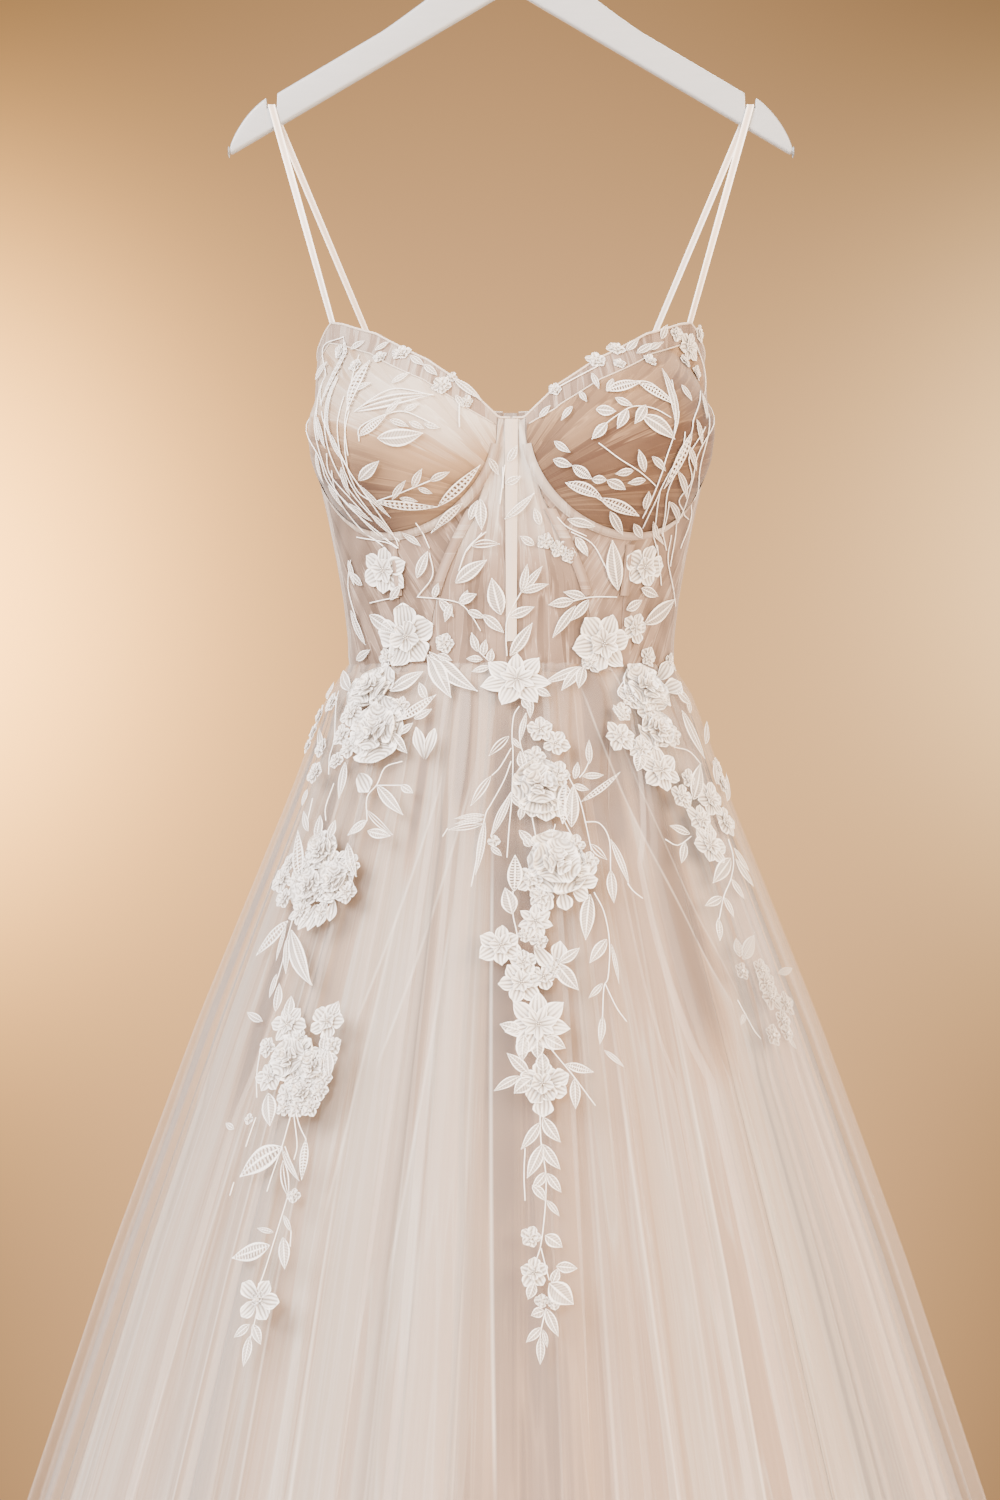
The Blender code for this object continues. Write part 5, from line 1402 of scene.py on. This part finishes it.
def blade_points(blades, work):
    """Angle, height, lift, cord share with its painted light and shade, and stitch count of every point of
    many leaves or petals.

    Along the spine, a blade's half width is a power of a sine, whose peak moves from past the
    middle on a round petal to before it on a pointed leaf. Across it, the lift is a low dome with
    a corded rim and midrib. Petals ruffle at the rim and curl up at the tip.
    """
    rows, across = blade_grid(work)
    b = {key: value[:, None, None] for key, value in blades.items()}
    length, half, lift, curl, point = (b[key] for key in ("length", "half", "lift", "curl", "point"))
    u = np.linspace(0.0, 1.0, rows)
    s = (u if work in (LADDER, OPEN) else 0.5 - 0.5 * np.cos(math.pi * u))[None, :, None]
    t = across[None, None, :]
    peak = 1.50 - 0.65 * point
    blunt = 0.50 + 0.48 * point
    width = np.clip(np.sin(math.pi * np.clip(s, 1e-6, 1.0) ** peak), 0.0, 1.0) ** blunt
    ruffle = (1.0 - point) * np.sin(10.0 * s + b["phase"])
    side = half * np.maximum(width, 0.05) * t * (1.0 + 0.07 * ruffle) + b["bow"] * length * s * (1.0 - s)
    dent = (1.0 - point) * (0.12 * t ** 2 * s ** 3 + 0.09 * np.exp(-(t / 0.3) ** 2) * s ** 8)
    along = length * (s - dent)
    off_u = b["du"] + b["dx"] * along + b["dz"] * side
    off_v = b["dv"] + b["dz"] * along - b["dx"] * side
    rim = np.exp(-((np.abs(t) - 0.90) / 0.12) ** 2)
    tip = np.clip((s - 0.90) / 0.07, 0.0, 1.0)
    rib = np.exp(-(t / 0.10) ** 2) * np.clip(1.25 * point - 0.25, 0.0, 1.0) * (s < 0.93)
    dome = 0.26 * point - 0.12
    rise = (LACE_LIFT + lift + dome * half * width * (1.0 - t ** 2)
            + 0.00050 * np.maximum(rim, tip) * np.minimum(width * 2.0, 1.0) + 0.00025 * rib
            + 0.10 * half * ruffle * t ** 2 + curl * length * s ** 2)
    vein = 0.35 * point * np.exp(-((np.abs(t) - 0.45) / 0.1) ** 2) * np.clip(3.0 * s, 0.0, 1.0)
    # Painted light and shade: a petal is painted darker towards its foot and paler towards its rim; a leaf a
    # little paler towards its tip and paler on one half, as if folded along its midrib and lit on that side.
    if work == PETAL:
        paler = 0.30 * s ** 2 - 0.90 * (1.0 - s) ** 2
        rounded = 0.7 * along - 0.5 * half * t ** 2
        thread = np.where(point > 0.05, (0.8 + 0.1 * np.sin(9.0 * s)) * side, rounded) / STITCH
    else:
        paler = 0.03 * s + 0.10 * (t > 0.0)
        thread = (along - 0.6 * np.abs(half * width * t)) / STITCH
    cord = np.clip(np.maximum(np.maximum(rim, tip), 0.85 * rib) + vein + paler, -1.0, 1.0)
    angle = b["angle"] + off_u / b["per_degree"]
    height = b["height"] + off_v / b["per_metre"]
    return np.broadcast_arrays(angle, height, rise, cord, thread)


def petal_row(size, bearing, foot, half, bow, lift, curl, point, phase):
    """A petal that points one way from its flower's middle, as the columns of PETAL_COLUMNS."""
    ahead = (math.cos(bearing), math.sin(bearing))
    return (foot * ahead[0], foot * ahead[1], size * ahead[0], size * ahead[1], half, bow, lift, curl,
            point, phase)


PETAL_COLUMNS = ("du", "dv", "tip_u", "tip_v", "half", "bow", "lift", "curl", "point", "phase")


def flower_blades(radius, petals, turn, rng):
    """Petals of a flower, in metres.

    Seven petals are long and pointed; fewer are rounder. A smaller ring lies above the full one:
    straight over it on a small flower, so that its petals look outlined twice.
    """
    rows = []
    point = 0.80 if petals >= 7 else 0.40 if petals == 6 else 0.12
    slim = 0.66 if petals >= 7 else 0.70
    small = radius < SMALL_FLOWER
    rings = ((1.0, 0.0, 0.05), (0.60 if small else 0.52, 0.0010, 0.16))
    for ring, (reach, lift, curl) in enumerate(rings[:1] if radius < TINY_FLOWER else rings):
        for k in range(petals):
            step = k + (0.0 if small else 0.5 * ring)
            bearing = math.radians(turn + 360.0 * step / petals + rng.uniform(-6.0, 6.0))
            size = radius * reach * rng.uniform(0.88, 1.10)
            half = size * math.sin(math.pi / petals) * slim * rng.uniform(0.9, 1.08)
            rows.append(petal_row(size, bearing, 0.05 * size, half, rng.uniform(-0.12, 0.12),
                                  lift + 0.00035 * (k % 2), curl, point, rng.uniform(0.0, 6.28)))
    return rows


def rose_blades(radius, turn, rng):
    """Petals of a rose: four rings of broad ruffled petals that rise and close to the middle."""
    rows = []
    for reach, foot, count, lift, curl in ((1.06, 0.24, 5, 0.0, 0.10), (0.76, 0.14, 4, 0.0017, 0.20),
                                           (0.48, 0.05, 3, 0.0034, 0.30), (0.27, 0.01, 3, 0.0046, 0.40)):
        start = turn + rng.uniform(0.0, 60.0)
        for k in range(count):
            bearing = math.radians(start + 360.0 * k / count + rng.uniform(-9.0, 9.0))
            size = radius * reach * rng.uniform(0.84, 1.12)
            rows.append(petal_row(size, bearing, foot * radius, size * rng.uniform(0.56, 0.70),
                                  rng.uniform(-0.2, 0.2), lift + 0.0006 * (k % 2), curl, 0.0,
                                  rng.uniform(0.0, 6.28)))
    return rows


def leaf_rows(leaves):
    """Charted leaves as blades: the foot is the anchor, and the tip is found on the cloth."""
    usual = (SATIN, 0.0)
    chart = np.array([leaf + usual[len(leaf) - 5:] for leaf in leaves], float)
    across, down, run_across, run_down, half, work, bow = chart.T
    angle, height = from_chart(across, down)
    tip_angle, tip_height = from_chart(across + run_across, down + run_down)
    per_degree, per_metre = metric(angle, height)
    each = np.arange(len(leaves))
    return {"angle": angle, "height": height, "per_degree": per_degree, "per_metre": per_metre,
            "du": 0.0 * half, "dv": 0.0 * half, "run": (tip_angle - angle) * per_degree,
            "rise": (tip_height - height) * per_metre, "half": half * CHART_SQUARE, "work": work,
            "bow": bow + 0.08 * np.sin(7.0 * each), "lift": 0.0006 + 0.0003 * (each % 3),
            "curl": 0.02 + 0.0 * half, "point": np.where(work == PETAL, 0.15, 1.0), "phase": 1.7 * each}


def cluster_rows(angle, height, petals):
    """Petals round one place on the dress, as blades."""
    rows = dict(zip(PETAL_COLUMNS, np.array(petals).T))
    rows["run"] = rows.pop("tip_u") - rows["du"]
    rows["rise"] = rows.pop("tip_v") - rows["dv"]
    per_degree, per_metre = metric(angle, height)
    for key, value in (("angle", angle), ("height", height), ("per_degree", per_degree),
                       ("per_metre", per_metre), ("work", PETAL)):
        rows[key] = np.full(len(petals), float(value))
    return rows


def lace_mesh(name, groups, cords, over):
    """One applique: its blades and its stems as one mesh, a millimetre over the cloth."""
    blades = {key: np.concatenate([group[key] for group in groups]) for key in groups[0]}
    blades["length"] = np.hypot(blades["run"], blades["rise"])
    blades["dx"] = blades["run"] / blades["length"]
    blades["dz"] = blades["rise"] / blades["length"]
    parts = []
    ground = []
    cord = []
    thread = []
    for work in range(5):
        chosen = np.flatnonzero(blades["work"] == work)
        if len(chosen) == 0:
            continue
        of_work = {key: value[chosen] for key, value in blades.items()}
        angle, height, rise, corded, stitches = blade_points(of_work, work)
        shape, finish_of_face = BLADE_FACES[work]
        faces = (shape[None] + np.arange(len(chosen))[:, None, None] * angle[0].size).reshape(-1, 4)
        parts.append((lifted(angle, height, rise).reshape(-1, 3), faces))
        ground.append(np.tile(finish_of_face, len(chosen)))
        cord.append(corded.ravel())
        thread.append(stitches.ravel())
    for line in cords:
        lift = np.full(len(line), LACE_LIFT + CORD_RADIUS)
        points, faces = tube_mesh(lifted(line[:, 0], line[:, 1], lift), CORD_RADIUS, CORD_SIDES)
        parts.append((points, faces))
        ground.append(np.zeros(len(faces), int))
        cord.append(np.full(len(points), 0.9))
        thread.append(np.repeat(np.arange(len(points) // CORD_SIDES) * 0.5, CORD_SIDES))
    ground = np.concatenate(ground)
    if name in FAINT:
        ground = np.ones(len(ground), int)
    mesh_piece(name, *joined(parts), ["lace", "net_ground", "petal_ground"], "lace", (over,), ground,
               cord=np.concatenate(cord), thread=np.concatenate(thread))


def bead_ring(angle, height, radius, rng):
    """Places of the beads in the heart of a flower: one in the middle and a ring round it."""
    per_degree, per_metre = metric(angle, height)
    bearing = rng.uniform(0.0, 6.28) + np.arange(5) * 2.0 * math.pi / 5.0
    across = np.concatenate([[0.0], radius * np.cos(bearing)])
    up = np.concatenate([[0.0], radius * np.sin(bearing)])
    return lifted(angle + across / per_degree, height + up / per_metre, np.full(6, LACE_LIFT + PETAL_BED))


def make_beads(places):
    """Seed beads as small twenty-sided balls, 1.2 mm across."""
    golden = (1.0 + math.sqrt(5.0)) / 2.0
    corner = np.array([(-1, golden, 0), (1, golden, 0), (-1, -golden, 0), (1, -golden, 0),
                       (0, -1, golden), (0, 1, golden), (0, -1, -golden), (0, 1, -golden),
                       (golden, 0, -1), (golden, 0, 1), (-golden, 0, -1), (-golden, 0, 1)])
    corner = corner / np.linalg.norm(corner[0]) * BEAD_RADIUS
    sides = np.array([(0, 11, 5), (0, 5, 1), (0, 1, 7), (0, 7, 10), (0, 10, 11), (1, 5, 9), (5, 11, 4),
                      (11, 10, 2), (10, 7, 6), (7, 1, 8), (3, 9, 4), (3, 4, 2), (3, 2, 6), (3, 6, 8),
                      (3, 8, 9), (4, 9, 5), (2, 4, 11), (6, 2, 10), (8, 6, 7), (9, 8, 1)])
    faces = sides[None] + len(corner) * np.arange(len(places))[:, None, None]
    mesh_piece("seed_beads", places[:, None] + corner[None], faces.reshape(-1, 3), ["bead"], "lace")


def charted_cord(line):
    """A charted stem as angles and heights along a smooth curve."""
    chart = np.array(line, float).reshape(-1, 2).cumsum(axis=0)
    angle, height = from_chart(chart[:, 0], chart[:, 1])
    length = np.sum(np.hypot(np.diff(chart[:, 0]), np.diff(chart[:, 1]))) * CHART_SQUARE
    return smooth_line(np.stack([angle, height], axis=-1), max(4, int(length / CORD_STEP) + 2))


def make_lace():
    """Every charted applique, two plain clusters over the hidden back of the waist, and the beads."""
    rng = np.random.default_rng(5)
    beads = []
    usual = (5, 0)
    for name, chart in LACE.items():
        groups = [leaf_rows(chart["leaves"])]
        for flower in chart.get("flowers", ()):
            across, down, radius, petals, turn = flower + usual[len(flower) - 3:]
            angle, height = from_chart(across, down)
            full = radius * FULLNESS * CHART_SQUARE
            groups.append(cluster_rows(angle, height, flower_blades(full, petals, turn, rng)))
            beads.append(bead_ring(angle, height, 0.0016 if radius > 10 else 0.0011, rng))
        for across, down, radius, turn in chart.get("roses", ()):
            full = radius * FULLNESS * CHART_SQUARE
            groups.append(cluster_rows(*from_chart(across, down), rose_blades(full, turn, rng)))
        cords = [charted_cord(line) for line in chart.get("cords", ())]
        lace_mesh(name, groups, cords, chart["over"])
    for side, sign in (("left", -1.0), ("right", 1.0)):
        groups = []
        for angle, height, radius, petals in ((145.0, -0.660, 0.020, 6), (138.0, -0.700, 0.014, 5),
                                              (152.0, -0.706, 0.012, 5), (150.0, -0.632, 0.013, 5),
                                              (132.0, -0.652, 0.012, 5), (143.0, -0.742, 0.010, 5)):
            groups.append(cluster_rows(sign * angle, height, flower_blades(radius, petals, 90.0, rng)))
            beads.append(bead_ring(sign * angle, height, 0.0013, rng))
        groups.append(cluster_rows(sign * 146.0, -0.690, rose_blades(0.017, 20.0, rng)))
        lace_mesh(f"lace_back_{side}", groups, (), f"cluster_back_{side}")
    make_beads(np.concatenate(beads))


# ---------------------------------------------------------------- stage
def round_glow(tree, where, centre, reach):
    """1 in one direction, behind the dress, and falling off as a bell curve: e to minus distance squared.

    Centre and reach are across and up, as parts of the distance to what is seen.
    """
    scale = [1.0 / reach[0], 1.0, 1.0 / reach[1]]
    place = [-centre[0] * scale[0], -1.0, -centre[1] * scale[2]]
    off = add(tree, "ShaderNodeMapping", {"Vector": where, "Scale": scale, "Location": place})
    square = add(tree, "ShaderNodeVectorMath", {0: off, 1: off}, out="Value", operation="DOT_PRODUCT")
    minus = add(tree, "ShaderNodeMath", {0: square, 1: -1.0}, operation="MULTIPLY")
    return add(tree, "ShaderNodeMath", {0: minus}, operation="EXPONENT")


def paper_glow(tree, where, colour, strength, centre, reach):
    """A colour times a strength, in a round glow."""
    level = add(tree, "ShaderNodeVectorMath", {0: colour, "Scale": strength}, operation="SCALE")
    share = round_glow(tree, where, centre, reach)
    return add(tree, "ShaderNodeVectorMath", {0: level, "Scale": share}, operation="SCALE")


def placed(name, data, place, turn):
    """A lamp or camera at its place."""
    holder = bpy.data.objects.new(name, data)
    bpy.context.scene.collection.objects.link(holder)
    holder.location = place
    holder.rotation_euler = turn
    return holder


def make_floor():
    """A pale round floor under the hem."""
    floor = bpy.data.meshes.new("floor")
    rim = np.linspace(0.0, 2.0 * math.pi, 96, endpoint=False)
    points = np.stack([FLOOR_RADIUS * np.cos(rim), FLOOR_RADIUS * np.sin(rim),
                       np.full(len(rim), FLOOR_HEIGHT)], axis=-1)
    floor.from_pydata(points.tolist(), [], [list(range(len(rim)))])
    floor.materials.append(surface("pale_floor", Roughness=0.9, Base_Color=linear("#e6d6c6"))[0])
    ground = bpy.data.objects.new("floor", floor)
    bpy.context.scene.collection.objects.link(ground)


def make_background():
    """Golden paper behind the dress, and everywhere else the pale white of the studio.

    The paper fades to its foot and sides, with a broad glow on the left and a small one on the
    right.
    """
    world = bpy.data.worlds.new("warm_studio")
    bpy.context.scene.world = world
    world.use_nodes = True
    tree = world.node_tree
    where = add(tree, "ShaderNodeTexCoord", out="Generated")
    paper = paper_glow(tree, where, (1.0, 0.53, 0.22), 1.47, (-0.008, -0.051), (0.161, 0.250))
    for colour, strength, centre, reach in (
            ((1.0, 0.465, 0.096), 7.4, (-0.156, 0.038), (0.068, 0.077)),
            ((1.0, 0.602, 0.239), 2.58, (0.180, 0.048), (0.082, 0.080))):
        glow = paper_glow(tree, where, colour, strength, centre, reach)
        paper = add(tree, "ShaderNodeVectorMath", {0: paper, 1: glow}, operation="ADD")
    cone = round_glow(tree, where, (0.0, 0.0), (0.28, 0.34))
    edge = add(tree, "ShaderNodeMapRange", {"Value": cone, "From Min": 0.25, "From Max": 0.60},
               interpolation_type="SMOOTHSTEP")
    studio = add(tree, "ShaderNodeVectorMath", {0: linear("#f6efe8")[:3], "Scale": STUDIO_LIGHT},
                 operation="SCALE")
    tree.links.new(blend(tree, edge, studio, paper), tree.nodes["Background"].inputs["Color"])


def make_lights():
    """Three large soft lamps that face the dress."""
    for name, place, target, size, power, colour in (
            ("key_left_front", (-2.25, -2.3, 1.2), (0.0, 0.0, -0.75), 2.4, 560.0, "#fff6f2"),
            ("fill_right_front", (2.4, -2.2, 0.1), (0.0, 0.0, -0.75), 2.2, 340.0, "#ffdab0"),
            ("top_back", (0.6, 1.9, 1.7), (0.0, 0.0, -0.7), 2.0, 120.0, "#fff4e8")):
        lamp = bpy.data.lights.new(name, "AREA")
        lamp.shape = "DISK"
        lamp.size = size
        lamp.energy = power
        lamp.color = linear(colour)[:3]
        aim = np.array(target) - np.array(place)
        tilt = math.atan2(math.hypot(aim[0], aim[1]), -aim[2])
        placed(name, lamp, place, (tilt, 0.0, math.atan2(-aim[0], aim[1])))


def make_camera():
    """Camera at the eye point, level, looking straight at the dress."""
    camera = bpy.data.cameras.new("camera")
    camera.sensor_width = 36.0
    camera.lens = LENS
    bpy.context.scene.camera = placed("camera", camera, EYE, (math.radians(90.0), 0.0, 0.0))


make_floor()
make_background()
make_lights()
make_camera()
make_tulle()
make_lining()
make_cups()
make_bands()
make_front_panel()
make_side_panels()
make_casings()
make_piping()
make_straps()
make_board()
make_hook()
make_lace()
